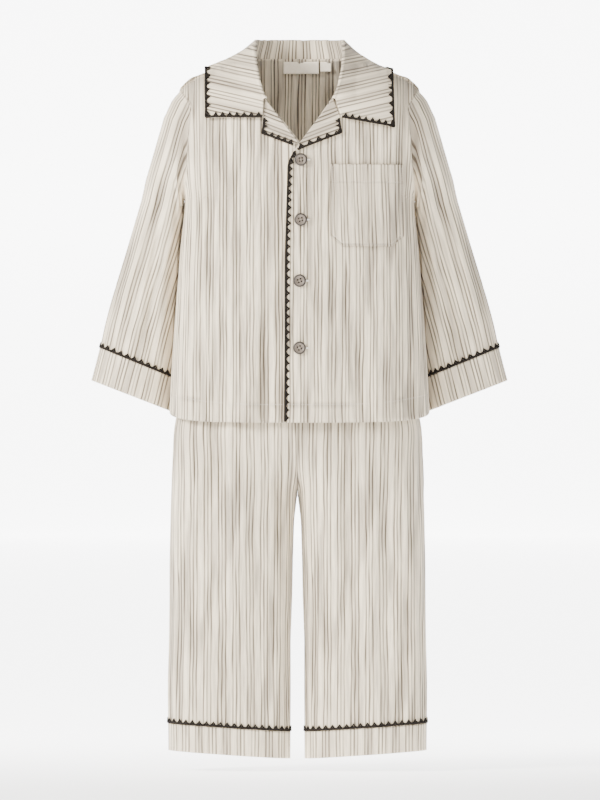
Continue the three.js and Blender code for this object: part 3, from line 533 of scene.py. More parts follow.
@dataclass(frozen=True)
class Backdrop:
    """Pale seamless studio paper that glows as painted light."""

    name: str = "studio_paper"
    colour: Colour = (250, 250, 249)
    glow: float = 6.0
    dim: float = 0.3
    glow_wide: Pair = (2600, 1200)
    glow_deep: Pair = (-600, 900)

    def material(self) -> Finish:
        """Builds the paper, which glows as painted light: brightest in a strip behind the set and dimmer beside
        it.
        """
        sh = Shader(self.name)
        x, y, z = sh.place()
        wide_from, wide_to = self.glow_wide
        strip = abs(x).step(wide_to, wide_from, 1.0, 0.0) * y.step(*self.glow_deep)
        glow_share = strip * (1 - self.dim) + self.dim
        tooth = sh.noise(2.0, x * 0.5, y * 0.5, z * 0.5)
        sh.set(Base_Color=tint(*self.colour), Roughness=0.9, Normal=sh.bump(tooth, 0.1 * MM, 0.2))
        # The glow is painted light: the paper shines with no lamp, most in the strip behind the set.
        sh.set(Emission_Color=sh.vector(glow_share, glow_share, glow_share), Emission_Strength=self.glow)
        return sh.material


# Meshes


def finish_mesh(bm: Build, name: str, soft: bool = False) -> Mesh:
    """Turns a bmesh into a mesh, and frees it.

    Args:
        bm: The bmesh.
        name: The mesh's name.
        soft: Whether its faces are shaded as one smooth form.
    """
    if soft:
        for face in bm.faces:
            face.smooth = True
    mesh = bpy.data.meshes.new(name)
    bm.to_mesh(mesh)
    bm.free()
    return mesh


def grid_mesh(name: str, surface: Surface, across: int, along: int, closed: bool = False,
              pattern: Pattern | None = None, outward: tuple[float, float, Way] | None = None,
              crinkle: Callable[[Array, Array, Array], tuple[Array, Array]] | None = None) -> Mesh:
    """Makes a mesh from a grid whose points are moved onto a surface.

    Args:
        name: The mesh's name.
        surface: Gives points in millimetres for shares across and along.
        across: Steps across.
        along: Steps along.
        closed: Whether the last column meets the first.
        pattern: Gives the cloth's grain coordinates in millimetres.
        outward: A place on the grid and the way that the face points there.
        crinkle: Gives, for shares and grain, the share of painted shade in a hollow, kept as "crease",
        and the millimetres that the grid sinks in.

    Returns:
        The mesh in metres, its faces turned out.
    """
    bm = bmesh.new()
    bmesh.ops.create_grid(bm, x_segments=across, y_segments=along, size=0.5)
    flat = np.array([v.co[:2] for v in bm.verts]) + 0.5
    u, v = np.round(flat[:, 0] * across) / across, np.round(flat[:, 1] * along) / along
    points = surface(u, v)
    for vert, point in zip(bm.verts, points * MM):
        vert.co = point
    if pattern is not None:
        grain = pattern(u, v, points) * MM
        layer = bm.loops.layers.uv.new("grain")
        bm.verts.index_update()
        for face in bm.faces:
            for loop in face.loops:
                loop[layer].uv = grain[loop.vert.index]
    if outward is not None:
        share_u, share_v, way = outward
        near = int(np.argmin((u - share_u) ** 2 + (v - share_v) ** 2))
        bm.verts.ensure_lookup_table()
        bm.normal_update()
        if bm.verts[near].normal.dot(Vector(way)) < 0:
            bmesh.ops.reverse_faces(bm, faces=bm.faces)
    if crinkle is not None:
        painted_shade, deep = crinkle(u, v, grain / MM)
        # The crease attribute keeps painted shade, which darkens the cloth's colour in the hollows.
        kept = bm.verts.layers.float.new("crease")
        bm.normal_update()
        ways = [vert.normal.copy() for vert in bm.verts]
        for vert, way, share, sunk in zip(bm.verts, ways, painted_shade, deep):
            vert.co -= way * float(sunk) * MM
            vert[kept] = float(share)
    if closed:
        bmesh.ops.remove_doubles(bm, verts=bm.verts, dist=0.02 * MM)
    return finish_mesh(bm, name, soft=True)


def add_object(mesh: Mesh, material: Finish | None = None) -> Piece:
    """Puts a mesh into the scene, in a material if it has none yet."""
    made = bpy.data.objects.new(mesh.name, mesh)
    bpy.context.scene.collection.objects.link(made)
    if material is not None:
        mesh.materials.append(material)
    return made


def solidify(piece: Piece, thick: float) -> None:
    """Gives a shell its thickness, inwards from its face."""
    wall = piece.modifiers.new("cloth", "SOLIDIFY")
    wall.thickness = thick * MM
    wall.offset = -1


def dress(piece: Piece, slot: str, *nodes: str) -> Piece:
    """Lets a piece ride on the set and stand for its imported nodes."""
    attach(piece, "root")
    if nodes:
        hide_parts(*nodes)
    LOG.info("%s: %d faces", piece.name, len(piece.data.polygons))
    return piece


@dataclass
class Panel:
    """A cloth panel: the surface that it follows, its grain, its cut and its finish."""

    name: str
    node: str
    surface: Surface
    pattern: Pattern
    across: int
    along: int
    outward: tuple[float, float, Way]
    cut: Pair
    held: str
    rests_on: list[str]
    slot: str
    finish: Finish
    area: float | None = None
    closed: bool = False
    thick: float = SHELL
    crinkle: float = 1.9
    flat_edge: float = 6.0
    # Gives painted shade, such as grooves at stitches and the hollow at the fork, that joins the crease
    # attribute.
    seam: Callable[[Array], Array] | None = None

    def sunk(self, u: Array, v: Array, grain: Array) -> tuple[Array, Array]:
        """Returns the crinkles' share of painted shade and their depth; the depth dies out at the panel's seams.
        """
        side = np.minimum(u, 1 - u) * self.cut[0]
        end = np.minimum(v, 1 - v) * self.cut[1]
        calm = smooth(side, 0, self.flat_edge) * smooth(end, 0, self.flat_edge)
        share = hollows(grain[:, 0], grain[:, 1])
        return share, self.crinkle * calm * share

    def build(self) -> Piece:
        mesh = grid_mesh(self.name, self.surface, self.across, self.along, self.closed,
                         self.pattern, self.outward, self.sunk)
        # The seam's painted shade joins the crease attribute, which darkens the cloth's colour.
        if self.seam is not None:
            kept = mesh.attributes["crease"].data
            points = np.array([vert.co for vert in mesh.vertices]) / MM
            for item, groove in zip(kept, self.seam(points)):
                item.value = max(item.value, float(groove))
        piece = add_object(mesh, self.finish)
        solidify(piece, self.thick)
        dress(piece, self.slot, self.node)
        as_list(self.rests_on)
        return piece


# The jacket's forms


HEM_CENTRE = -399.5
HEM_RISE = 12.5
HEM_HALF = 150
ARMPIT = -144
TIP_X = 137
NECK_X = 52
NECK_BACK = 20
BREAK_Z = -88
GORGE_Z = -30


def arc_of_oval(ratio: float) -> Callable[[Any], Array]:
    """Returns the length along an oval of half width 1, signed, over the share across.

    Args:
        ratio: The oval's depth over its half width.
    """
    share = np.sin(np.linspace(0, math.pi / 2, 400))
    length = lengths(np.stack([share, ratio * oval(share)], axis=-1))

    def arc(where: Any) -> Array:
        """Reads the length at a share from -1 to 1."""
        return np.sign(where) * np.interp(np.abs(where), share, length)
    return arc


def panel_height(share: Array, low: Any, mid: Any, high: Any, mid_share: float) -> Array:
    """Returns a row's height: even below, then closer where the panel rolls over the shoulder."""
    past = between(share, mid_share, 1)
    above = mid + (high - mid) * np.sin((math.pi / 2) * past)
    return np.where(share <= mid_share, lerp(low, mid, share / mid_share), above)


@dataclass
class Body:
    """The jacket's body: its sections, shoulder line, armholes, front edges and folds."""

    torso: Table = Table(
        "z half front back", (-400, 150, 72, 68), (-345, 147.5, 71, 68), (-284, 143.5, 70, 68),
        (-201, 137, 68, 68), (ARMPIT, 132, 66, 68), (-120, 138, 65, 69), (-80, 146, 64, 70),
        (-40, 149, 62, 70), (45, 149, 60, 70))
    shoulder: Table = Table("x z", (0, 43), (NECK_X, 19), (109, -1), (120, -5), (TIP_X, -16.5))
    armhole: Table = Table(
        "z x", (ARMPIT, 132), (-100, 128.3), (-64, 126), (-45, 124), (-36, 125), (-26, 131), (-16.5, TIP_X))
    over_edge: Table = Table(
        "z x", (-401, -17.8), (-213, -16.7), (-106, -13.6), (-96, -10), (-86, -4), (-51, 22), (-21, 43),
        (-7, 48), (19, NECK_X))
    under_edge: Table = Table(
        "z x", (-401, 14), (-97, 14), (-80, 1), (-58.7, -15.5), (-39, -32), (GORGE_Z, -38.5), (-7, -47),
        (19, -NECK_X))
    front_folds: Table = Table(
        FOLD_COLUMNS, (-250, -401, -34, -38, 8, -4.8, 1), (-190, -401, -52, -60, 10, 3.3, 1),
        (-150, -401, -86, -92, 12, -3.3, 2), (-215, -401, 62, 70, 11, -3.3, 1),
        (-260, -401, 100, 106, 10, 3.0, 2), (-60, -260, -112, -104, 6, -2.0, 2),
        (-215, -401, -19, -23, 5, 2.0, 1), (-120, -310, -71, -62, 6, -2.0, 2),
        (-230, -401, -117, -127, 7, 2.2, 2), (-40, -190, 119, 112, 6, -1.8, 1),
        (-210, -401, 29, 34, 6, 1.8, 1), (-235, -401, 47, 52, 5, -2.1, 2), (-240, -401, 84, 91, 6, 2.1, 2),
        (-300, -401, 122, 128, 7, -2.7, 1), (-20, -130, -64, -70, 7, -1.7, 1),
        (-55, -150, 60, 66, 7, -1.5, 1))
    back_folds: Table = Table(
        FOLD_COLUMNS, (-120, -401, -60, -74, 13, -4.2, 2), (-170, -401, -14, -18, 12, 3.6, 1),
        (-140, -401, 38, 46, 13, -4.5, 2), (-200, -401, 88, 98, 12, 3.4, 1),
        (-60, -240, -100, -92, 7, -2.0, 2), (-210, -401, -38, -44, 6, 2.1, 1),
        (-240, -401, -102, -112, 7, 2.5, 2), (-30, -220, 14, 8, 8, -1.8, 2),
        (-250, -401, 18, 22, 6, -2.1, 1), (-90, -300, 68, 74, 6, -2.0, 2),
        (-280, -401, 118, 126, 7, -2.5, 1), (-20, -160, 104, 98, 7, 1.7, 1),
        (-300, -401, -128, -134, 6, -2.2, 1))
    shoulder_round: float = 70
    overlap_from: float = 18
    overlap_to: float = 46
    hem_deep: float = 20.5
    hem_stands: float = 0.35
    groove_deep: float = 0.8
    groove_wide: float = 1.6
    seam_shade: float = 0.85
    seam_wide: float = 1.5
    arc_ratio: float = 0.47
    centre_share: float = 0.62
    side_share: float = 0.56
    back_share: float = 0.58
    neck_share: float = 0.36
    back_middle: float = -120

    def __post_init__(self) -> None:
        """Reads the tables into lines."""
        self.half = self.torso.line("z", "half")
        self.depths = {-1: self.torso.line("z", "front"), 1: self.torso.line("z", "back")}
        self.shoulder_line = self.shoulder.line("x", "z")
        self.armhole_x = self.armhole.line("z", "x")
        self.edges = {Side.LEFT: self.over_edge.line("z", "x", True),
                      Side.RIGHT: self.under_edge.line("z", "x", True)}
        self.arc = arc_of_oval(self.arc_ratio)

    def roof(self, x: Any) -> Array:
        """Returns the height of the shoulder seam."""
        return self.shoulder_line(np.abs(x))

    def hem(self, x: Any) -> Array:
        """Returns the height of the hem."""
        return HEM_CENTRE + HEM_RISE * np.minimum(1, np.abs(x) / HEM_HALF) ** 3.5

    def depth(self, y: Array, z: Array) -> Array:
        """Returns the depth of the front or the back at a height, whichever lies on y's side."""
        return np.where(y < 0, self.depths[-1](z), self.depths[1](z))

    def y(self, x: Array, z: Array, side: int) -> Array:
        """Returns the outer face of the body; side is -1 in front and 1 at the back."""
        down = np.clip((self.roof(x) - z) / self.shoulder_round, 0, 1)
        depth = self.depths[side](z) * oval(x / self.half(z)) * np.sqrt(1 - (1 - down) ** 2)
        folds = self.front_folds if side < 0 else self.back_folds
        return side * (SEAM / 2 + depth) + relief(folds, x, z, side)

    def back_y(self, x: Array, z: Array) -> Array:
        """Returns the outer face of the back."""
        return self.y(x, z, 1)

    def front_y(self, side: Side) -> Face:
        """Returns the face of a front; the over front lies on the under one past the centre."""
        def under(x: Array, z: Array) -> Array:
            """Reads the plain face."""
            return self.y(x, z, -1)

        def over(x: Array, z: Array) -> Array:
            """Reads the face moved out over the under front."""
            return self.y(x, z, -1) - (CLOTH + LAP) * (1 - smooth(x, self.overlap_from, self.overlap_to))
        return over if side is Side.LEFT else under

    def hem_seam(self, points: Array) -> Array:
        """Returns the shade of the groove along the hem's stitches."""
        above = points[:, 2] - self.hem(points[:, 0]) - self.hem_deep
        return self.seam_shade * bell(above / self.seam_wide)

    def hem_step(self, z: Array, x: Array) -> Array:
        """Returns how far the turned-up hem stands out, with a groove along its stitches."""
        above = z - self.hem(x) - self.hem_deep
        groove = bell(above / self.groove_wide)
        turned = self.hem_stands * (1 - smooth(above, -self.seam_wide, self.seam_wide))
        return turned - self.groove_deep * groove

    def front_point(self, side: Side) -> Surface:
        """Returns a front's surface: u from its free edge to the side, v from hem to shoulder."""
        hand, edge, face = side.value, self.edges[side], self.front_y(side)
        neck, tip = hand * NECK_X, hand * TIP_X

        def point(u: Array, v: Array) -> Array:
            """Places the panel's points."""
            low_side = HEM_CENTRE + HEM_RISE
            inner = panel_height(v, HEM_CENTRE, BREAK_Z, self.roof(neck), self.centre_share)
            outer = panel_height(v, low_side, ARMPIT, self.roof(tip), self.side_share)
            z = lerp(inner, outer, u)
            z = z + (self.roof(lerp(neck, tip, u)) - lerp(self.roof(neck), self.roof(tip), u)) * v**4
            z = z + (self.hem(u * HEM_HALF) - lerp(HEM_CENTRE, low_side, u)) * (1 - v) ** 4
            half = self.half(z)
            start = np.arcsin(np.clip(edge(z) / half, -1, 1))
            side_x = np.where(z < ARMPIT, half, self.armhole_x(z))
            end = np.arcsin(np.clip(hand * side_x / half, -1, 1))
            x = half * np.sin(lerp(start, end, u))
            return stack(x, face(x, z) - self.hem_step(z, x) * (1 - u**6), z)
        return point

    def back_point(self, u: Array, v: Array) -> Array:
        """Places the back's points: one piece between the side seams, the neck cut into its top."""
        neck_share, mid = self.neck_share, self.back_share
        share = 2 * u - 1
        hand, out = np.where(share < 0, -1, 1), np.abs(share)
        past = between(out, neck_share, 1)
        in_neck = NECK_BACK - (NECK_BACK - self.roof(NECK_X)) * (out / neck_share) ** 2
        top_z = np.where(out < neck_share, in_neck, self.roof(lerp(NECK_X, TIP_X, past)))
        z = panel_height(v, self.hem(out * HEM_HALF), lerp(self.back_middle, ARMPIT, out), top_z, mid)
        half = self.half(z)
        side = np.where(z < ARMPIT, half, self.armhole_x(z))
        top = np.where(out < neck_share, NECK_X * out / neck_share, lerp(NECK_X, side, past))
        low = half * np.sin(out * np.arcsin(np.clip(side / half, 0, 1)))
        x = hand * lerp(low, top, smooth(v, mid, 1))
        return stack(x, self.y(x, z, 1) + self.hem_step(z, x) * (1 - out**6), z)

    def grain(self, shift: float) -> Pattern:
        """Returns the grain of a body panel: stripes run down, even round the body.

        Args:
            shift: How far the stripes are moved across, in millimetres.
        """
        def pattern(u: Array, v: Array, points: Array) -> Array:
            """Reads the way round the body and the height."""
            half = self.half(points[:, 2])
            share = np.clip(points[:, 0] / half, -1, 1)
            return np.stack([half * self.arc(share) + shift, points[:, 2]], axis=-1)
        return pattern


def on_face(face: Face, x: Array, z: Array, lift: Any, side: int = -1) -> Array:
    """Returns places on a face of the body, moved out along its normal.

    Args:
        face: Gives the face's depth at x and z.
        x: Places across.
        z: Heights.
        lift: How far the places are moved out.
        side: -1 on a front, 1 on a back.
    """
    step = 0.5
    slope_x = (face(x + step, z) - face(x - step, z)) / (2 * step)
    slope_z = (face(x, z + step) - face(x, z - step)) / (2 * step)
    normal = unit(stack(-slope_x, 1.0, -slope_z)) * side
    return stack(x, face(x, z), z) + normal * np.asarray(lift)[..., None]


@dataclass
class Sleeves:
    """The two sleeves and their cuffs, as rings from the armhole to the cuff's edge."""

    body: Body
    rings: Table = Table(
        "k out_x out_z in_x in_z deep y", (0, 137, -16.5, 132.4, -144, 44, 2),
        (1, 148, -29, 134.5, -150, 44, 8), (2, 157, -48, 134, -158, 42, 13),
        (3, 164.5, -74, 133, -168, 39, 18), (4, 176.5, -115, 133.5, -182, 36, 24),
        (5, 183.4, -144, 133, -198, 34, 28), (6, 197.2, -190, 133.4, -226, 32, 31),
        (7, 211, -236, 135, -262, 30, 32), (8, 223.7, -282, 138, -314, 28, 33),
        (9, 230.6, -313, 140.5, -350, 27, 34), (10, 240.4, -351, 142, -389, 26, 34))
    creases: Table = Table(
        "k turn k_wide turn_wide deep slant", (1.6, 0.36, 1.3, 0.035, -3.3, 0.05),
        (2.6, 0.30, 1.5, 0.03, -2.4, 0.04), (4.6, 0.22, 2.0, 0.03, -2.7, 0.02),
        (5.2, 0.33, 1.6, 0.03, 2.4, -0.03), (6.4, 0.14, 1.8, 0.025, 2.2, 0.01),
        (7.4, 0.27, 1.5, 0.03, -3.0, 0.02), (7.8, 0.18, 1.2, 0.025, -2.0, -0.01),
        (3.2, 0.14, 1.8, 0.03, 1.8, 0.02), (1.8, 0.66, 1.4, 0.035, -3.0, -0.05),
        (4.4, 0.74, 2.0, 0.03, -3.0, -0.02), (6.2, 0.64, 1.8, 0.03, 2.7, 0.02),
        (7.4, 0.78, 1.4, 0.03, -2.4, 0.01))
    cuff_row: float = 9
    last_row: float = 10
    arc_ratio: float = 0.6
    clear: float = 2.2
    join: float = 0.7
    underarm: float = 18
    shoulder_at: Pair = (148, -29)
    wrist_at: Pair = (240.4, -351)
    round_half: float = 45
    tuck: float = 16
    valley: dict[Side, float] = field(default_factory=lambda: {Side.RIGHT: 5.0, Side.LEFT: 11.0})
    valley_wide: float = 7.5
    valley_z: Pair = (36, 80)
    blend_rows: float = 2
    crease_rows: float = 1.5
    clear_rows: Pair = (1, 4)
    tuck_rows: float = 1
    valley_rows: float = 0.4

    def __post_init__(self) -> None:
        """Reads the rings into lines along the sleeve."""
        self.lines = {name: self.rings.line("k", name) for name in self.rings.columns if name != "k"}
        self.arc = arc_of_oval(self.arc_ratio)

    def ring(self, k: Array, turn: Array) -> Array:
        """Places points of a ring; turn is 0 at the outer point and runs over the front."""
        c = {name: line(k) for name, line in self.lines.items()}
        along = np.cos(turn)
        front = -np.sign(np.sin(turn)) * oval(along) * c["deep"]
        share = (1 + along) / 2
        return stack(lerp(c["in_x"], c["out_x"], share), c["y"] + front, lerp(c["in_z"], c["out_z"], share))

    def armhole_ring(self, turn: Array) -> Array:
        """Places points of the loop beside the armhole's edge."""
        z = lerp(ARMPIT, self.body.roof(TIP_X), (1 + np.cos(turn)) / 2)
        x = self.body.armhole_x(z)
        front = self.body.y(x, z, -1) + SEAM / 2
        back = self.body.y(x, z, 1) - SEAM / 2
        return stack(x + self.join, np.where(np.sin(turn) >= 0, front, back), z)

    def crease(self, k: Array, turn: Array) -> Array:
        """Returns how far the sleeve's creases stand off its face."""
        share = np.mod(turn / (2 * math.pi), 1)
        total = np.zeros(np.broadcast(k, turn).shape)
        for k_mid, turn_mid, k_wide, turn_wide, deep, slant in self.creases.rows:
            across = (share - turn_mid - slant * (k - k_mid)) / turn_wide
            total = total + deep * bell(across) * bell((k - k_mid) / k_wide)
        return total

    def place(self, side: Side, k: Array, turn: Array) -> Array:
        """Places points of the sleeve, kept clear of the body beside it."""
        body = self.body
        p = self.ring(k, turn)
        moved = self.armhole_ring(turn) - self.ring(np.zeros_like(k), turn)
        p = p + moved * (1 - smooth(k, 0, self.blend_rows))[..., None]
        middle_y = self.lines["y"](k)
        crease = self.crease(k, turn) * smooth(k, 0, self.crease_rows)
        p[..., 1] += np.where(p[..., 1] < middle_y, -1, 1) * crease
        depth = body.depth(p[..., 1], p[..., 2])
        below = 1 - smooth(p[..., 2], ARMPIT - self.underarm, ARMPIT)
        wide = body.half(p[..., 2]) * oval(p[..., 1] / depth)
        clear = self.clear * smooth(k, *self.clear_rows)
        near = lerp(body.armhole_x(p[..., 2]), wide, below) + clear + LAP
        inner = ((1 - np.cos(turn)) / 2) ** 3 * smooth(k, 0, self.tuck_rows) * (np.sin(turn) < 0)
        beside = np.maximum(p[..., 0] - near, 0)
        p[..., 0] = side.value * np.maximum(p[..., 0] - self.tuck * inner, near)
        shade = bell(beside / self.valley_wide) * smooth(k, 0, self.valley_rows)
        shade = shade * smooth(-p[..., 2], *self.valley_z)
        p[..., 1] += self.valley[side] * shade * (np.sin(turn) > 0.05) * (p[..., 1] < middle_y - 4)
        return p

    def point(self, side: Side, start: float, end: float) -> Surface:
        """Returns the surface between two rings, its seam along the underarm."""
        def place(u: Array, v: Array) -> Array:
            """Places the points."""
            return self.place(side, lerp(start, end, v), 2 * math.pi * (u + 0.5))
        return place

    def grain(self, shift: float) -> Pattern:
        """Returns the grain: stripes run beside the sleeve's outer line, down to the cuff."""
        def pattern(u: Array, v: Array, points: Array) -> Array:
            """Reads how far a place lies from the outer line, and how far down it."""
            top, low = np.array(self.shoulder_at), np.array(self.wrist_at)
            down = (low - top) / np.linalg.norm(low - top)
            out = np.array([-down[1], down[0]])
            flat = np.stack([np.abs(points[:, 0]), points[:, 2]], axis=-1) - top
            outer = np.stack([self.rings.columns["out_x"], self.rings.columns["out_z"]], axis=-1) - top
            inward = np.maximum(0, np.interp(flat @ down, outer @ down, outer @ out) - flat @ out)
            near = np.minimum(inward / self.round_half, 1)
            way = self.round_half * (self.arc(1.0) - self.arc(1 - near)) + np.maximum(0, inward - self.round_half)
            return np.stack([np.where(u < 0.5, -way, way) + shift, flat @ down], axis=-1)
        return pattern


@dataclass
class Collar:
    """The notched collar: a stand inside the neck, a fold, and a fall over the body."""

    body: Body
    fold_line: Table = Table(
        "p x y z", (0, 49, 6, 41), (0.2, 50, -14, 33), (0.47, 49.5, -39, 16), (0.73, 45, -60.5, -10),
        (1, 38.5, -66.5, -29))
    corners: Table = Table(
        "hand top_x top_z point_x point_z notch_x notch_z", (-1, 108.7, 8.6, 107.5, -51, 42, -51.5),
        (1, 107, 3.5, 108.7, -62, 47.7, -51.5))
    back_fold: Triple = (49, 55, 43.5)
    back_edge_y: float = 72
    back_edge_z: float = -15
    top_y: float = -6
    shoulder: float = 0.4
    top: float = 16 / 30
    front: float = 22 / 30
    radius_back: float = 3
    radius_gorge: float = 2.3
    bulge: float = 2.5
    lift: float = 4.4
    join: float = 0.1
    stand_end: float = 0.22
    fall_start: float = 0.5
    slope: float = math.radians(14)
    meet: float = 6
    blend: float = 0.02
    fall_long: float = 70
    fan: float = 0.2
    steepest: float = 4
    over: float = 1.5

    def __post_init__(self) -> None:
        """Reads the fold line, and its length from the back centre."""
        self.fold_lines = [self.fold_line.line("p", name) for name in "xyz"]
        share = np.linspace(0, 1, 201)
        fold = self.section(np.ones(201), share)[1]
        self.length = Line(share, lengths(fold))

    def section(self, hand: Array, share: Array) -> tuple[Array, Array, Array]:
        """Returns seam, fold and edge at a share from the back centre (0) to the notch (1)."""
        body = self.body
        left = hand > 0
        c = {}
        for name, values in self.corners.columns.items():
            c[name] = np.where(left, values[1], values[0])

        def on_front(x: Array, z: Array) -> Array:
            """Places a point of the edge on the front below it."""
            wide = hand * x
            y = np.where(left, body.front_y(Side.LEFT)(wide, z), body.front_y(Side.RIGHT)(wide, z))
            return stack(wide, y, z)
        turn = (math.pi / 2) * (1 - np.minimum(1, share / self.shoulder))
        cos, sin = np.cos(turn), np.sin(turn)
        x, z = NECK_X * cos, lerp(body.roof(NECK_X), NECK_BACK, sin)
        seam_back = stack(hand * x, body.y(x, z, 1), z)
        fold_x, fold_y, fold_z = self.back_fold
        fold_back = stack(hand * fold_x * cos, lerp(self.fold_lines[1](0), fold_y, sin),
                          lerp(self.fold_lines[2](0), fold_z, sin))
        p = between(share, self.shoulder, 1)
        z = body.roof(NECK_X) + (GORGE_Z - body.roof(NECK_X)) * (1 - np.cos((math.pi / 2) * p))
        x = np.where(left, body.edges[Side.LEFT](z), body.edges[Side.RIGHT](z))
        seam_front = stack(x, body.y(x, z, -1), z)
        fx, fy, fz = (line(p) for line in self.fold_lines)
        in_back = (share < self.shoulder)[..., None]
        seam = np.where(in_back, seam_back, seam_front)
        fold = np.where(in_back, fold_back, stack(hand * fx, fy, fz))
        turn = (math.pi / 2) * (1 - np.minimum(1, share / self.top))
        cos, sin = np.cos(turn), np.sin(turn)
        edge_back = stack(hand * c["top_x"] * cos, lerp(self.top_y, self.back_edge_y, sin),
                          lerp(c["top_z"], self.back_edge_z, sin))
        point = on_front(c["point_x"], c["point_z"])
        notch = on_front(c["notch_x"], c["notch_z"])
        t = between(share, self.top, self.front)[..., None]
        edge_side = lerp(stack(hand * c["top_x"], self.top_y, c["top_z"]), point, t)
        t = between(share, self.front, 1)[..., None]
        edge = np.where((share < self.top)[..., None], edge_back,
                        np.where((share < self.front)[..., None], edge_side, lerp(point, notch, t)))
        return seam, fold, edge

    def clear_of_body(self, p: Array) -> Array:
        """Moves points of the fall out over a front or the back, or up over the shoulder."""
        body = self.body
        x, y, z = p[..., 0], p[..., 1], p[..., 2]
        side = np.where(y < 0, -1, 1)

        def face(at_x: Array, at_z: Array) -> Array:
            """Reads the face that the fall lies over."""
            front = np.where(x > 0, body.front_y(Side.LEFT)(at_x, at_z), body.y(at_x, at_z, -1))
            return np.where(side < 0, front, body.y(at_x, at_z, 1))
        depth = body.depth(y, z) * oval(x / body.half(z))
        near = np.clip(np.maximum(0, np.abs(y) - self.lift) / np.maximum(depth, 1e-6), 0, 1)
        top = body.roof(x) - body.shoulder_round * (1 - np.sqrt(np.maximum(0, 1 - near**2)))
        here = face(x, z)
        slope = np.sqrt(1 + (face(x + 1, z) - here) ** 2 + (face(x, z - 1) - here) ** 2)
        lift = self.lift * np.minimum(slope, self.steepest)
        short = np.where(z < body.roof(x), lift - side * (y - here), 1e9)
        low = top + self.over * self.lift - z
        inside = (short > 0) & (low > 0)
        up = inside & (low < short)
        out = inside & ~up
        return stack(x, np.where(out, y + side * short, y), np.where(up, z + low, z))

    def point(self, u: Array, v: Array) -> Array:
        """Places the outer face: up the stand, over the fold and down the fall."""
        hand = np.where(u < 0.5, -1, 1)
        share = np.abs(2 * u - 1)
        seam, fold, edge = self.section(hand, share)
        step = 0.01
        before = self.section(hand, np.maximum(0, share - step))[1]
        after = self.section(hand, np.minimum(1, share + step))[1]
        along = unit(after - before)

        def flat(p: Array) -> Array:
            """Returns the way from the fold to a point, square to the fold."""
            way = p - fold
            return unit(way - along * dot(way, along))
        to_seam, to_edge = flat(seam), flat(edge)
        up = -unit(to_seam + to_edge)
        out = to_edge - to_seam
        out = unit(out - up * dot(out, up))
        radius = lerp(self.radius_back, self.radius_gorge, smooth(share, self.shoulder, 1))[..., None]
        centre = fold - up * radius

        def arc(angle: Any) -> Array:
            """Places points round the fold."""
            angle = np.broadcast_to(angle, share.shape)[..., None]
            return centre + out * radius * np.sin(angle) + up * radius * np.cos(angle)
        foot = arc(-math.pi / 2)
        start = seam + unit(foot - seam) * self.join
        stand = lerp(start, foot, between(v, 0, self.stand_end)[..., None])
        turn = between(v, self.stand_end, self.fall_start)
        folded = arc(math.pi * (turn - 0.5))
        t = between(v, self.fall_start, 1)
        fall = lerp(arc(math.pi / 2), edge, t[..., None])
        fall[..., 1] -= self.bulge * np.sin(math.pi * t) * smooth(share, self.top, self.front)
        fall = self.clear_of_body(fall)
        v3 = v[..., None]
        return np.where(v3 <= self.stand_end, stand, np.where(v3 < self.fall_start, folded, fall))

    def pattern(self, u: Array, v: Array, points: Array) -> Array:
        """Returns the grain: stripes radiate behind the neck and run outwards, rising, in front."""
        share = np.abs(2 * u - 1)
        x, z = np.abs(points[:, 0]), points[:, 2]
        level = z * math.cos(self.slope) - x * math.sin(self.slope)
        back = self.length(share)
        front = self.length(self.top) + self.meet - level
        across = lerp(back, front, smooth(share, self.shoulder - self.blend, self.top + self.blend))
        return np.stack([np.where(u < 0.5, -across, across), v * self.fall_long + x * self.fan], axis=-1)


@dataclass
class Lapel:
    """The part of a front turned out, from the gorge down to the break."""

    side: Side
    body: Body
    gorge: Pair
    top: Pair
    tip: Pair
    end: Pair
    start: Pair
    area: float
    spring: float = 1.2
    turn: float = 0.7
    tuck: float = 1.06
    slope: float = math.radians(21)

    def outline(self, v: Array) -> tuple[Array, Array, Array, Array]:
        """Returns the roll line and the outer edge as x and z, from the break up."""
        roll_x, roll_z = lerp(self.start[0], self.gorge[0], v), lerp(self.start[1], self.gorge[1], v)
        low, high = v / self.turn, (v - self.turn) / (1 - self.turn)
        out_x = np.where(v < self.turn, lerp(self.end[0], self.tip[0], low), lerp(self.tip[0], self.top[0], high))
        out_z = np.where(v < self.turn, lerp(self.end[1], self.tip[1], low), lerp(self.tip[1], self.top[1], high))
        return roll_x, roll_z, out_x, out_z

    def point(self, u: Array, v: Array) -> Array:
        """Places the lapel's outer face on the front; its upper edge is tucked under the collar."""
        roll_x, roll_z, out_x, out_z = self.outline(v * self.tuck)
        lift = CLOTH + LAP + self.spring * (1 - u) ** 2
        return on_face(self.body.front_y(self.side), lerp(roll_x, out_x, u), lerp(roll_z, out_z, u), lift)

    def pattern(self, u: Array, v: Array, points: Array) -> Array:
        """Returns the grain: stripes fall towards the break."""
        x, z = np.abs(points[:, 0]), points[:, 2]
        return np.stack([x * math.sin(self.slope) - z * math.cos(self.slope), x], axis=-1)


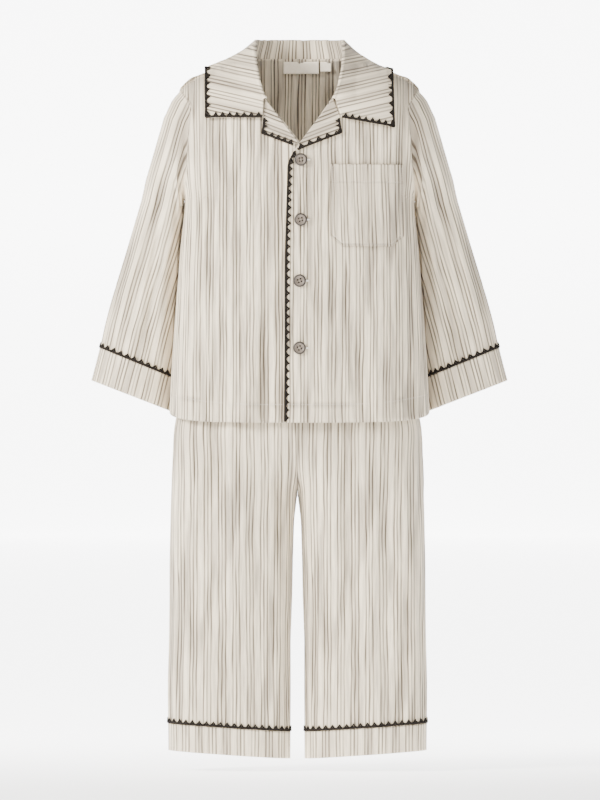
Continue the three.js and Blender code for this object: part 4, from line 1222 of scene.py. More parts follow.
@dataclass
class Pocket:
    """The chest pocket, with its lower corners cut off and a stitched top."""

    body: Body
    left: float = 35
    right: float = 118.5
    top: float = -104.5
    bottom: float = -198.5
    chamfer_x: float = 14
    chamfer_z: float = 12
    wall: float = 1.3
    lift: float = 1
    hem_z: float = -124.8
    inset: float = 2.6
    swell: float = 0.5
    cut_slant: float = 0.035
    cut_middle: float = -150
    cut_shift: float = 4
    cut_even: float = 1.02

    def cut(self, x: Array) -> Array:
        """Returns the height of the lower edge."""
        off = np.maximum(np.maximum(self.left + self.chamfer_x - x, x - self.right + self.chamfer_x), 0)
        return self.bottom + off * self.chamfer_z / self.chamfer_x

    def from_edge(self, x: Array, z: Array) -> Array:
        """Returns how far a place lies inside the sides and the lower edge."""
        return np.minimum(np.minimum(x - self.left, self.right - x), z - self.cut(x))

    def point(self, u: Array, v: Array) -> Array:
        """Places the pocket's face on the front, with grooves along its stitches."""
        x = lerp(self.left, self.right, u)
        z = lerp(self.cut(x), self.top, v)
        groove = 0.55 * bell((self.from_edge(x, z) - self.inset) / 0.9)
        groove = groove + 0.5 * bell(z - self.hem_z)
        swell = self.swell * np.sin(math.pi * u) * np.sin(math.pi * np.clip(v * 1.1, 0, 1))
        return on_face(self.body.front_y(Side.LEFT), x, z, self.wall + self.lift + swell - groove)

    def seam(self, points: Array) -> Array:
        """Returns the painted shade along the pocket's edges, in the grooves of its stitches and at its hem."""
        x, z = points[:, 0], points[:, 2]
        edge = self.from_edge(x, z)
        rim = bell(edge - self.inset) + 1 - smooth(edge, 0, 1.8)
        hem = 0.6 * bell(z - self.hem_z) + 0.9 * (1 - smooth(self.top - z, 0, 1.4))
        return np.minimum(1, rim + hem)

    def pattern(self, u: Array, v: Array, points: Array) -> Array:
        """Returns the grain: stripes run down, a little off the front's own."""
        across, down = points[:, 0], points[:, 2]
        slanted = (down - self.cut_middle) * self.cut_slant
        return np.stack([across * self.cut_even + slanted + self.cut_shift, down], axis=-1)


# The trousers' forms


@dataclass
class Trousers:
    """The trousers: two legs that part at the crotch, hem bands and a gathered waistband."""

    sections: Table = Table(
        "z half deep gap", (-786, 148.3, 33, 8), (-700, 149, 34, 7.5), (-650, 147.8, 37, 7.6),
        (-600, 147.2, 41, 5.8), (-558, 147, 45, 5), (-512, 146, 51, 3.6), (-485, 145.3, 55, 0.4),
        (-440, 143.5, 59, 0), (-399, 140.5, 60, 0), (-340, 124, 56, 0), (-290, 99, 49, 0),
        (-264, 97, 48, 0))
    rows: Table = Table("v z", (0, -744.6), (0.5, -505), (0.8, -405), (1, -290.3))
    folds: Table = Table(
        FOLD_COLUMNS, (-330, -560, -84, -116, 11, -6.1, 3), (-430, -650, -66, -74, 13, 3.2, 3),
        (-330, -600, 56, 62, 11, -5.4, 2), (-400, -650, 108, 102, 12, -3.8, 2),
        (-380, -610, -102, -128, 7, 3.2, 2), (-420, -730, -40, -46, 7, -2.4, 2),
        (-470, -760, -96, -88, 8, -2.4, 3), (-400, -690, 34, 30, 7, -2.4, 2),
        (-440, -740, 82, 90, 8, 2.4, 3), (-500, -760, 70, 62, 7, -2.0, 2),
        (-390, -560, 126, 132, 7, 2.2, 2), (-560, -770, -124, -118, 7, 2.0, 2),
        (-560, -770, 116, 122, 6, -1.9, 2), (-400, -520, -14, -20, 7, -3.0, 1),
        (-400, -520, 16, 24, 7, -3.0, 1))
    middle_x: float = -2.3
    fork_top: float = -400
    fork: float = -485
    seam_z: float = -744.6
    seam_drop: float = 10
    hem_z: float = -776
    waist_top: float = -264
    waist_deep: float = 26
    elastic: float = 2.0
    pleat: float = 1.1
    pleats: int = 37
    small_pleat: float = 0.5
    small_pleats: int = 61
    channel: float = 0.7
    gathered: float = 1.2
    side_x: float = 148
    crease_x: float = 76
    half_way: float = 84
    fork_wide: float = 3.5
    fork_from: Pair = (448, 462)
    fork_to: Pair = (490, 505)
    back_seam: float = 0.8
    arc_ratio: float = 0.45
    band_gap: float = 8
    leg_middle: float = 78
    drop_ends: float = -600

    def __post_init__(self) -> None:
        """Reads the sections into lines."""
        self.half = self.sections.line("z", "half")
        self.deep = self.sections.line("z", "deep")
        self.gap = self.sections.line("z", "gap", True)
        self.row_height = self.rows.line("v", "z", True)
        self.arc = arc_of_oval(self.arc_ratio)

    def drop(self, x: Any) -> Array:
        """Returns how much lower the hem band's seam lies towards the inner side."""
        return self.seam_drop * (1 - np.clip(np.abs(x) / self.side_x, 0, 1))

    def leg_oval(self, z: Array) -> tuple[Array, Array, Array]:
        """Returns the middle, half width and end angle of a leg's oval at a height."""
        half = self.half(z)
        gap = np.where(z <= self.fork, self.gap(z), 0)
        part = 1 - between(z, self.fork, self.fork_top)
        q = part * part * (3 - 2 * part)
        below = z <= self.fork
        middle = np.where(below, (half + gap) / 2, q * half / (1 + q))
        wide = np.where(below, (half - gap) / 2, half / (1 + q))
        return middle, wide, np.where(below, math.pi / 2, np.arcsin(q))

    def leg_point(self, side: Side, face: int, turn: Array, z: Array) -> Array:
        """Places points of a leg: turn runs from the outer side over the face to the middle."""
        middle, wide, _ = self.leg_oval(z)
        x = middle - wide * np.sin(turn)
        y = face * (SEAM / 2 + self.deep(z) * oval(np.sin(turn)))
        fold_x = (1 if face < 0 else -1) * side.value * x
        fold = relief(self.folds, fold_x, z, face) * oval(np.sin(turn))
        middle_x = self.middle_x + self.back_seam * (face > 0) * smooth(z, self.fork, self.fork + 20)
        return stack(side.value * (x + SEAM / 2) + middle_x, y + fold, z)

    def panel(self, side: Side, face: int) -> Surface:
        """Returns a panel's surface: u from the side seam to the middle, v from band to waist."""
        def point(u: Array, v: Array) -> Array:
            """Places the panel's points."""
            flat = self.row_height(v)
            middle, wide, end = self.leg_oval(flat)
            rough_x = middle - wide * np.sin(lerp(-math.pi / 2, end, u))
            z = flat - self.drop(rough_x) * (1 - smooth(flat, self.seam_z, self.drop_ends))
            return self.leg_point(side, face, lerp(-math.pi / 2, self.leg_oval(z)[2], u), z)
        return point

    def ring(self, side: Side, share: Array, height: Callable[[Array], Array]) -> Array:
        """Places a closed ring round one leg; share 0 is at the outer side, then the front."""
        around = 2 * math.pi * share
        face = np.where(np.sin(around) >= 0, -1, 1)
        turn = np.arcsin(np.clip(-np.cos(around), -1, 1))
        middle, wide, _ = self.leg_oval(np.full_like(share, self.seam_z))
        z = height(middle - wide * np.sin(turn))
        front = self.leg_point(side, -1, turn, z)
        back = self.leg_point(side, 1, turn, z)
        return np.where((face < 0)[..., None], front, back)

    def band(self, side: Side) -> Surface:
        """Returns the hem band's surface, its seam at the inner side."""
        def point(u: Array, v: Array) -> Array:
            """Places the band's points."""
            top = self.seam_z - 2 * SEAM
            share = np.mod(u + 0.5, 1)
            return self.ring(side, share, lambda x: lerp(self.hem_z, top, v) - self.drop(x))
        return point

    def waist_point(self, u: Array, v: Array) -> Array:
        """Places the waistband, gathered on its elastic into small uneven pleats."""
        around = 2 * math.pi * u
        z = lerp(self.waist_top - self.waist_deep, self.waist_top, v)
        face = np.where(np.cos(around) >= 0, -1, 1)
        pleat = self.pleat * np.sin(around * self.pleats + 2.2 * np.sin(around * 5))
        pleat = pleat + self.small_pleat * np.sin(around * self.small_pleats + 1)
        channel = self.channel * np.cos(4 * math.pi * v)
        x = self.half(z) * np.sin(around)
        y = face * self.deep(z) * oval(np.sin(around))
        out = unit(np.stack([x, y * 2], axis=-1)) * (pleat - channel - self.gathered)[..., None]
        return stack(x + out[..., 0] + self.middle_x, y + out[..., 1], z)

    def grain(self, side: Side, shift: float) -> Pattern:
        """Returns the grain of a trouser panel: stripes run down beside the leg's crease line."""
        def pattern(u: Array, v: Array, points: Array) -> Array:
            """Reads the way from the crease line and the height."""
            z = points[:, 2]
            middle, wide, _ = self.leg_oval(z)
            x = side.value * (points[:, 0] - self.middle_x)
            here = self.arc(np.clip((x - middle) / wide, -1, 1))
            crease = self.arc(np.clip((self.crease_x - middle) / wide, -1, 1))
            outer = self.half_way * (here - crease) / (self.arc(1.0) - crease)
            way = np.where(here > crease, outer, wide * (here - crease))
            return np.stack([side.value * way + shift, z], axis=-1)
        return pattern

    def fork_shade(self, points: Array) -> Array:
        """Returns the shade of the deep hollow above the fork."""
        across = (points[:, 0] - self.middle_x) / self.fork_wide
        down = smooth(-points[:, 2], *self.fork_from) * (1 - smooth(-points[:, 2], *self.fork_to))
        return bell(across) * down

    def band_grain(self, shift: float) -> Pattern:
        """Returns the grain of a hem band: stripes run down, off those of the leg."""
        def pattern(u: Array, v: Array, points: Array) -> Array:
            """Reads the way round the leg and the height."""
            share = np.mod(u + 0.5, 1)
            wide = (self.side_x - self.band_gap) / 2
            way = wide * (self.arc(1.0) - self.arc(np.cos(2 * math.pi * share)))
            return np.stack([np.where(u >= 0.5, way, -way) + shift, points[:, 2]], axis=-1)
        return pattern


# Edging, buttons, labels and sewing


@dataclass
class Edging:
    """Pointed edging: a spine of yarn along an edge, and an open pointed loop at each step."""

    name: str
    node: str
    at: Array
    inward: Array
    normal: Array
    finish: Finish
    closed: bool = False
    spine: float = 2.3
    tooth: float = 5.0
    base: float = 0.42
    thick: float = 0.95
    fine: int = 4
    corner_bend: float = 0.8
    corner_tall: float = 0.65
    outline: tuple[Pair, ...] = (
        (-1, 0), (-0.66, 0.28), (-0.34, 0.62), (0, 1), (0.34, 0.62), (0.66, 0.28), (1, 0))
    yarn_share: float = 0.35
    round_share: float = 0.6
    rounding: float = 0.25
    sides: int = 6

    def point_mesh(self) -> Mesh:
        """Makes one pointed loop: base along X, point along Y, height along Z, in shares."""
        bm = bmesh.new()
        face = bm.faces.new([bm.verts.new((x, y, 0)) for x, y in self.outline])
        bm.normal_update()
        bmesh.ops.inset_individual(bm, faces=[face], thickness=self.yarn_share, use_even_offset=True)
        bmesh.ops.delete(bm, geom=[face], context="FACES_ONLY")
        raised = bmesh.ops.extrude_face_region(bm, geom=list(bm.faces))
        top = [g for g in raised["geom"] if isinstance(g, bmesh.types.BMVert)]
        bmesh.ops.translate(bm, verts=top, vec=(0, 0, 1))
        bmesh.ops.recalc_face_normals(bm, faces=bm.faces)
        return finish_mesh(bm, "pointed_loop")

    def build(self) -> Piece:
        """Makes the edging along its steps."""
        bm = bmesh.new()
        loop = self.point_mesh()
        count = len(self.at)
        last = count if self.closed else count - 1
        for n in range(last):
            m = (n + 1) % count
            a, b = self.at[n], self.at[m]
            middle = (a + b) / 2
            way = Vector(b - a)
            inward = Vector(self.inward[n] + self.inward[m])
            inward = (inward - way * (inward.dot(way) / way.length_squared)).normalized()
            up = Vector(self.normal[n] + self.normal[m]).normalized()
            along = inward.cross(up).normalized()
            half = way.length * self.base
            bend = Vector(self.inward[n]).normalized().dot(Vector(self.inward[m]).normalized())
            tall = self.tooth * (self.corner_tall if bend < self.corner_bend else 1)
            frame = Matrix((along * half, inward * tall, up * self.thick)).transposed().to_4x4()
            frame.translation = Vector(middle) + inward * self.spine * self.round_share
            before = len(bm.verts)
            bm.from_mesh(loop)
            bm.verts.ensure_lookup_table()
            bmesh.ops.transform(bm, matrix=Matrix.Scale(MM, 4) @ frame, verts=bm.verts[before:])
        self.add_spine(bm)
        bpy.data.meshes.remove(loop)
        piece = add_object(finish_mesh(bm, self.name, soft=True), self.finish)
        round_off = piece.modifiers.new("round", "BEVEL")
        round_off.width, round_off.segments, round_off.limit_method = self.rounding * MM, 1, "ANGLE"
        return dress(piece, "trim_yarn", self.node)

    def add_spine(self, bm: Build) -> None:
        """Adds the rounded spine through the steps, drawn as one smooth line."""
        path = self.at + unit(self.inward) * self.spine * 0.5 + self.normal * self.thick * 0.5
        count = len(path)
        steps = (count if self.closed else count - 1) * self.fine
        tube = bmesh.new()
        bmesh.ops.create_grid(tube, x_segments=steps, y_segments=self.sides, size=0.5)
        for vert in tube.verts:
            place = (vert.co.x + 0.5) * steps / self.fine
            angle = 2 * math.pi * (vert.co.y + 0.5)
            n = int(min(place, steps / self.fine - 1e-6))
            t = place - n
            ids = [self.index(n + k) for k in (-1, 0, 1, 2)]
            p0, p1, p2, p3 = (path[i] for i in ids)
            here = 0.5 * (2 * p1 + (p2 - p0) * t + (2 * p0 - 5 * p1 + 4 * p2 - p3) * t * t
                          + (3 * p1 - p0 - 3 * p2 + p3) * t**3)
            inward = Vector(lerp(self.inward[ids[1]], self.inward[ids[2]], t)).normalized()
            up = Vector(lerp(self.normal[ids[1]], self.normal[ids[2]], t)).normalized()
            offset = inward * math.cos(angle) * self.spine + up * math.sin(angle) * self.thick
            vert.co = (Vector(here) + offset * self.round_share) * MM
        bmesh.ops.remove_doubles(tube, verts=tube.verts, dist=0.01 * MM)
        ends = [e for e in tube.edges if e.is_boundary]
        if ends:
            bmesh.ops.holes_fill(tube, edges=ends, sides=self.sides + 2)
        bmesh.ops.recalc_face_normals(tube, faces=tube.faces)
        mesh = finish_mesh(tube, "spine")
        bm.from_mesh(mesh)
        bpy.data.meshes.remove(mesh)

    def index(self, n: int) -> int:
        """Returns the step's place in the lists, round a closed edge or held at an open end."""
        count = len(self.at)
        return n % count if self.closed else max(0, min(count - 1, n))


def even_steps(path: Callable[[Array], Array], teeth: int, closed: bool, samples: int = 24) -> Array:
    """Returns the shares along a path that lie one tooth apart.

    Args:
        path: Gives points for shares from 0 to 1.
        teeth: How many teeth the path has.
        closed: Whether it ends where it starts.
        samples: Places measured for each tooth.
    """
    share = np.linspace(0, 1, teeth * samples + 1)
    length = lengths(path(share))
    want = np.linspace(0, length[-1], teeth + 1)[: teeth if closed else teeth + 1]
    return np.interp(want, length, share)


def edge_frame(surface: Callable[[Array, float], Array], share: Array, out: Callable[[Array], Array],
               step: float = 0.002) -> tuple[Array, Array, Array]:
    """Returns places on an edge, the way into the cloth and the way out of it.

    Args:
        surface: Gives points for shares along the edge and millimetres into the cloth.
        share: Shares along the edge.
        out: Gives a rough way out of the cloth at each place.
        step: Share over which the edge's way is measured.
    """
    here = surface(share, 0)
    along = surface(share + step, 0) - surface(share - step, 0)
    inward = unit(surface(share, 2) - here)
    normal = unit(np.cross(along, inward))
    return here, inward, normal * np.where(dot(normal, out(here)) < 0, -1, 1)


def join_runs(runs: Sequence[tuple[Array, Array, Array]]) -> tuple[Array, Array, Array]:
    """Joins runs of edging end to end, with one mitred step at each corner.

    Args:
        runs: For each run its places, the ways into the cloth and the ways out of it.
    """
    places, inwards, normals = ([part] for part in runs[0])
    for here, into, normal in runs[1:]:
        corner = inwards[-1][-1] + into[0]
        inwards[-1][-1] = corner * 2 / float(corner @ corner)
        normals[-1][-1] = unit(normals[-1][-1] + normal[0])
        places.append(here[1:])
        inwards.append(into[1:])
        normals.append(normal[1:])
    return np.concatenate(places), np.concatenate(inwards), np.concatenate(normals)


@dataclass
class Buttons:
    """Four buttons with a rim, a dished face and four holes, sewn on with a cross of thread."""

    body: Body
    finish: Finish
    rim: Finish
    # The dark finish of the holes' walls and floors: painted shade.
    hole_shade: Finish
    thread: Finish
    pale: Finish
    places: Table = Table("x z", (1.7, -99.5), (1.4, -168), (0.2, -237.7), (0, -314.4))
    shank: float = 0.6
    floor: float = 1.5
    hole: float = 1.05
    hole_at: float = 2.2
    hole_sides: int = 16
    hole_floor: float = 0.35
    pin: float = 4.0
    rim_from: float = 5.6
    buttonhole: Triple = (10.6, 2.0, 0.5)
    rib: float = 0.9
    yarn: float = 0.17
    yarn_sides: int = 6
    yarn_apart: float = 0.2
    spin: float = 7

    def disc(self) -> Mesh:
        """Turns the button's section round its axis and cuts its holes."""
        section = [(0, self.floor), (3.3, self.floor), (3.9, self.floor + 0.15), (4.7, 2.2), (5.5, 2.4),
                   (6.5, 2.3), (7.1, 1.9), (7.3, 1.3), (7.05, 0.6), (6.4, 0.1), (4.0, 0.0), (0, 0.0)]
        bm = bmesh.new()
        verts = [bm.verts.new((r * MM, 0, h * MM)) for r, h in section]
        edges = [bm.edges.new(pair) for pair in zip(verts, verts[1:])]
        bmesh.ops.spin(bm, geom=verts + edges, cent=(0, 0, 0), axis=(0, 0, 1), angle=2 * math.pi, steps=48,
                       use_merge=True)
        bmesh.ops.remove_doubles(bm, verts=bm.verts, dist=0.005 * MM)
        bmesh.ops.recalc_face_normals(bm, faces=bm.faces)
        body, drill = add_object(finish_mesh(bm, "button_disc")), self.drill()
        cut = body.modifiers.new("holes", "BOOLEAN")
        cut.object, cut.operation, cut.solver = drill, "DIFFERENCE", "EXACT"
        graph = bpy.context.evaluated_depsgraph_get()
        holed = bpy.data.meshes.new_from_object(body.evaluated_get(graph))
        bpy.data.objects.remove(body)
        bpy.data.objects.remove(drill)
        # Hole walls and floors take the dark yarn: painted shade in the blind holes.
        for finish in (self.finish, self.rim, self.hole_shade):
            holed.materials.append(finish)
        for polygon in holed.polygons:
            x, y, z = polygon.center / MM
            out = math.hypot(x, y)
            in_hole_shade = out < self.hole_at + self.hole + 0.2 and self.hole_floor - 0.1 < z < self.floor - 0.1
            polygon.material_index = 2 if in_hole_shade else 1 if out > self.rim_from else 0
        return holed

    def drill(self) -> Piece:
        """Makes the four pins that cut the holes."""
        bm = bmesh.new()
        for n in range(4):
            angle = math.pi / 4 + n * math.pi / 2
            at = Vector((math.cos(angle), math.sin(angle), 0)) * self.hole_at
            at.z = self.hole_floor + self.pin / 2
            bmesh.ops.create_cone(bm, cap_ends=True, segments=self.hole_sides, radius1=self.hole * MM,
                                  radius2=self.hole * MM, depth=self.pin * MM, matrix=Matrix.Translation(at * MM))
        return add_object(finish_mesh(bm, "drill"))

    def thread_mesh(self) -> Mesh:
        """Makes the cross of thread: two strands each way, over the face and down its holes."""
        bm = bmesh.new()
        for n in range(2):
            angle = math.pi / 4 + n * math.pi / 2
            way = Vector((math.cos(angle), math.sin(angle), 0))
            beside = Vector((-way.y, way.x, 0))
            for shift in (-self.yarn_apart, self.yarn_apart):
                rise = self.floor + 0.15 + 0.22 * n
                stops = [(-0.84, 0.5), (-0.76, self.floor - 0.1), (-0.5, rise), (0, rise + 0.1), (0.5, rise),
                         (0.76, self.floor - 0.1), (0.84, 0.5)]
                points = [way * self.hole_at * s + beside * shift + Vector((0, 0, h)) for s, h in stops]
                strand(bm, points, self.yarn, self.yarn_sides)
        return finish_mesh(bm, "button_cross")

    def build(self) -> list[Piece]:
        """Makes each button, its thread and the end of its buttonhole."""
        disc, cross = self.disc(), self.thread_mesh()
        face = self.body.front_y(Side.LEFT)
        made = []
        for n, (x, z) in enumerate(self.places.rows, 1):
            y = float(face(np.array(x), np.array(z))) - self.shank
            turn = Matrix.Rotation(math.pi / 2, 4, "X")
            spin = Matrix.Rotation(math.radians(self.spin * n), 4, "Z")
            place = Matrix.Translation(Vector((x, y, z)) * MM) @ turn @ spin
            button = add_object(disc.copy())
            button.name = button.data.name = f"sewn_button_{n}"
            button.data.transform(place)
            for polygon in button.data.polygons:
                polygon.use_smooth = len(polygon.vertices) < 5
            made.append(dress(button, "button", f"button_{n}"))
            sewn = add_object(cross.copy(), self.thread)
            sewn.name = sewn.data.name = f"button_thread_{n}"
            sewn.data.transform(place)
            made.append(dress(sewn, "label_tape"))
            made.append(self.hole_end(n, x, z))
        return made

    def hole_end(self, n: int, x: float, z: float) -> Piece:
        """Makes the whipped buttonhole that lies under a button and shows beside it."""
        long, wide, high = self.buttonhole
        face = self.body.front_y(Side.LEFT)

        def point(u: Array, v: Array) -> Array:
            """Places the raised oval of stitches on the front."""
            ridge = np.sqrt(np.maximum(0, 1 - (2 * v - 1) ** 2))
            taper = np.minimum(1, 8 * np.minimum(u, 1 - u))
            ribs = 0.12 * np.sin(u * long * 2 * math.pi / self.rib)
            lift = (high + ribs) * ridge * taper + 0.02
            height = z + (v - 0.5) * wide * (0.4 + 0.6 * taper)
            return on_face(face, x + u * long, height, lift)
        mesh = grid_mesh(f"buttonhole_{n}", point, 48, 6, outward=(0.5, 0.5, FRONT))
        return dress(add_object(mesh, self.pale), "label_tape")


def strand(bm: Build, points: Sequence[Vector], radius: float, sides: int) -> None:
    """Adds a round strand through points in millimetres.

    Args:
        bm: The mesh that it is added to.
        points: The strand's middle line.
        radius: Its radius.
        sides: How many sides its section has.
    """
    rings = []
    for k, here in enumerate(points):
        way = (points[min(k + 1, len(points) - 1)] - points[max(k - 1, 0)]).normalized()
        turn = way.to_track_quat("Z", "Y").to_matrix().to_4x4()
        turn.translation = here
        made = bmesh.ops.create_circle(bm, segments=sides, radius=radius, matrix=Matrix.Scale(MM, 4) @ turn)
        ring = made["verts"]
        rings.append([e for e in bm.edges if e.verts[0] in ring and e.verts[1] in ring])
    for low, high in zip(rings, rings[1:]):
        bmesh.ops.bridge_loops(bm, edges=low + high)


@dataclass
class Stitches:
    """A row of short raised stitches on a surface."""

    name: str
    finish: Finish
    places: list[tuple[Array, Array]]
    length: float = 2.0
    width: float = 0.42
    high: float = 0.22

    def build(self) -> Piece:
        """Makes each stitch as a small domed bar between two steps of its row."""
        bm = bmesh.new()
        for points, normals in self.places:
            for a, b, up in zip(points[:-1:2], points[1::2], normals[:-1:2]):
                along = Vector(b - a)
                out = Vector(up).normalized()
                beside = along.cross(out).normalized()
                frame = Matrix((along, beside * self.width, out * self.high)).transposed().to_4x4()
                frame.translation = Vector((a + b) / 2) + out * self.high * 0.3
                bmesh.ops.create_icosphere(bm, subdivisions=1, radius=0.5, matrix=Matrix.Scale(MM, 4) @ frame)
        return dress(add_object(finish_mesh(bm, self.name, soft=True), self.finish), "label_tape")


def row_of(place: Callable[[Array, float], Array], length: float, pitch: float = 2.6,
           filled: float = 0.72) -> tuple[Array, Array]:
    """Returns the ends of the stitches along a row, and the ways out of the cloth there.

    Args:
        place: Gives points for shares along the row, raised by a number of millimetres.
        length: The row's rough length.
        pitch: From stitch to stitch.
        filled: The share of the pitch that a stitch takes.
    """
    count = max(2, int(length / pitch))
    share = np.sort(np.concatenate([np.arange(count) / count, (np.arange(count) + filled) / count]))
    points = place(share, 0)
    return points, unit(place(share, 1) - points)


# The garments


@dataclass
class Finishes:
    """The materials of the set, one of each."""

    stripes: Finish = field(default_factory=lambda: StripedGauze().material())
    collar: Finish = field(
        default_factory=lambda: StripedGauze(name="collar_gauze", wander=0.8, crinkle=0.8).material())
    bands: Finish = field(
        default_factory=lambda: StripedGauze(name="band_gauze", wander=1.0, crinkle=1.0).material())
    yarn: Finish = field(default_factory=lambda: EdgingYarn().material())
    button: Finish = field(default_factory=lambda: ShellButton().material())
    button_rim: Finish = field(
        default_factory=lambda: ShellButton("button_rim", (50, 42, 34), (34, 28, 23)).material())
    button_thread: Finish = field(
        default_factory=lambda: PlainThread("button_thread", (150, 140, 126), (128, 118, 105)).material())
    thread: Finish = field(
        default_factory=lambda: PlainThread("pale_thread", (240, 234, 224), (226, 218, 206)).material())
    tape: Finish = field(
        default_factory=lambda: PlainThread("label_tape", (254, 244, 224), (250, 238, 216), 3.0).material())


@dataclass
class Jacket:
    """The jacket: body, sleeves, collar, lapels, pocket, edging, buttons, labels and sewing."""

    finishes: Finishes
    body: Body = field(default_factory=Body)
    trim_teeth: dict[str, int] = field(default_factory=lambda: {
        "collar_front": 8, "collar_side": 8, "collar_back": 32, "lapel_side": 3, "lapel_foot": 5, "placket": 35,
        "cuff": 32})
    labels: tuple[tuple[str, float, float, float, float], ...] = (
        ("neck_label", -19, 23, 18.8, 4.8), ("size_label", 25, 37.3, 18.2, 7.3))
    label_wall: float = 0.5
    label_hang: float = 0.55
    label_cut: float = 1.25
    placket_top: float = -89.5
    placket_lift: float = 0.2
    cuff_row_long: float = 39
    cuff_middle: Triple = (186, 34, -331)
    stitch_from: float = 3
    stitch_to: float = 146
    hem_bow: float = 1.12
    hem_sunk: float = 0.55
    pocket_sunk: float = 0.2

    def __post_init__(self) -> None:
        """Makes the parts that share the body."""
        self.sleeves = Sleeves(self.body)
        self.collar = Collar(self.body)
        self.pocket = Pocket(self.body)
        self.lapels = [
            Lapel(Side.RIGHT, self.body, (-37, -33), (-41, -52), (-43, -70), (-7.5, -83.5), (-2, -79.5), 0.00095),
            Lapel(Side.LEFT, self.body, (35.5, -33), (46, -52), (48, -69), (-2, -89), (-1, -83), 0.00122)]

    def build(self) -> None:
        """Builds every piece of the jacket."""
        self.build_panels()
        self.build_limbs()
        self.build_collar()
        self.build_pocket()
        self.build_labels()
        f = self.finishes
        Buttons(self.body, f.button, f.button_rim, f.yarn, f.button_thread, f.thread).build()
        self.build_edging()
        self.build_sewing()

    def build_panels(self) -> None:
        """Builds the two fronts and the back."""
        stripes, body = self.finishes.stripes, self.body
        for side, shift, wide in ((Side.RIGHT, 0.0, 186), (Side.LEFT, 3.0, 190)):
            Panel(f"cloth_{side.front}", side.front, body.front_point(side), body.grain(shift), 128, 100,
                  (0.2, 0.3, FRONT), (wide, 412), "hung", ["back", "collar"], "striped_cloth", stripes,
                  seam=body.hem_seam).build()
        Panel("cloth_back", "back", body.back_point, body.grain(5.0), 210, 90, (0.5, 0.3, (0, 1, 0)),
              (345, 425), "hung", ["front_under", "front_over"], "striped_cloth", stripes,
              seam=body.hem_seam).build()

    def build_limbs(self) -> None:
        """Builds the sleeves and cuffs."""
        f, sleeves = self.finishes, self.sleeves
        row, last = sleeves.cuff_row, sleeves.last_row
        for side in Side:
            way, sleeve = (side.value, 0, 0), f"sleeve_{side.word}"
            Panel(f"cloth_{sleeve}", sleeve, sleeves.point(side, 0, row - 0.004), sleeves.grain(4.0), 190, 90,
                  (0.5, 0.5, way), (320, 300), "hung", [side.front, "back"], "striped_cloth", f.stripes,
                  area=0.066, closed=True).build()
            Panel(f"cloth_cuff_{side.word}", f"cuff_{side.word}", sleeves.point(side, row, last),
                  sleeves.grain(9.0), 110, 16, (0.5, 0.5, way), (245, 40), "hung", [sleeve], "band_cloth",
                  f.bands, closed=True, crinkle=0.6).build()

    def build_collar(self) -> None:
        """Builds the collar and the lapels."""
        cloth = self.finishes.collar
        Panel("cloth_collar", "collar", self.collar.point, self.collar.pattern, 240, 60, (0.5, 1, (0, 1, 0)),
              (400, 105), "folded", ["front_under", "front_over", "back"], "collar_cloth", cloth,
              crinkle=0.7).build()
        for lapel in self.lapels:
            name = f"lapel_{lapel.side.word}"
            Panel(f"cloth_{name}", name, lapel.point, lapel.pattern, 24, 40, (0.5, 0.5, FRONT), (36, 62),
                  "folded", [lapel.side.front], "collar_cloth", cloth, area=lapel.area, crinkle=0.3).build()

    def build_pocket(self) -> None:
        """Builds the pocket."""
        Panel("cloth_pocket", "pocket", self.pocket.point, self.pocket.pattern, 110, 110, (0.5, 0.5, FRONT),
              (86, 95), "laid", ["front_over"], "striped_cloth", self.finishes.stripes, thick=CLOTH,
              crinkle=0.6, seam=self.pocket.seam).build()

    def build_labels(self) -> None:
        """Builds the two bare labels inside the back neck."""
        for name, left, right, top, bottom in self.labels:
            def point(u: Array, v: Array) -> Array:
                """Places the label inside the back, hanging nearly straight from the neck seam."""
                x, lift = lerp(left, right, u), -(CLOTH + 2 * LAP)
                face = on_face(self.body.back_y, x, lerp(bottom, top, v), lift, 1)
                head = on_face(self.body.back_y, x, np.full_like(v, top), lift, 1)
                return lerp(head, face, np.array([1, self.label_hang, 1]))

            def pattern(u: Array, v: Array, points: Array) -> Array:
                """Reads the place on the tape."""
                return points[:, [0, 2]]
            Panel(f"tape_{name}", name, point, pattern, 24, 10, (0.5, 0.5, FRONT),
                  (right - left, (top - bottom) * self.label_cut), "laid", ["back"], "label_tape",
                  self.finishes.tape, thick=self.label_wall, crinkle=0).build()

    def build_edging(self) -> None:
        """Builds the pointed edging of collar, lapels, placket and cuffs."""
        self.edge_collar()
        for lapel in self.lapels:
            self.edge_lapel(lapel)
        face, edge = self.body.front_y(Side.LEFT), self.body.edges[Side.LEFT]

        def placket(share: Array, into: float) -> Array:
            """Places points down the over front's edge."""
            z = lerp(self.placket_top, HEM_CENTRE + 1, share)
            x = edge(z) + into
            return stack(x, face(x, z), z)
        share = even_steps(lambda s: placket(s, 0), self.trim_teeth["placket"], False)
        at, inward, normal = edge_frame(placket, share, lambda p: np.array(FRONT) + 0 * p)
        Edging("edging_placket", "trim_placket", at + normal * self.placket_lift, inward, normal,
               self.finishes.yarn, base=0.53).build()
        for side in Side:
            def cuff(share: Array, into: float) -> Array:
                """Places points round the cuff's seam."""
                k = np.full_like(share, self.sleeves.cuff_row - into / self.cuff_row_long)
                return self.sleeves.place(side, k, 2 * math.pi * share)
            share = even_steps(lambda s: cuff(s, 0), self.trim_teeth["cuff"], True)
            middle = np.array(self.cuff_middle) * (side.value, 1, 1)
            at, inward, normal = edge_frame(cuff, share, lambda p: p - middle)
            Edging(f"edging_cuff_{side.word}", f"trim_cuff_{side.word}", at + normal * TRIM_LIFT, inward,
                   normal, self.finishes.yarn, closed=True, base=0.5).build()

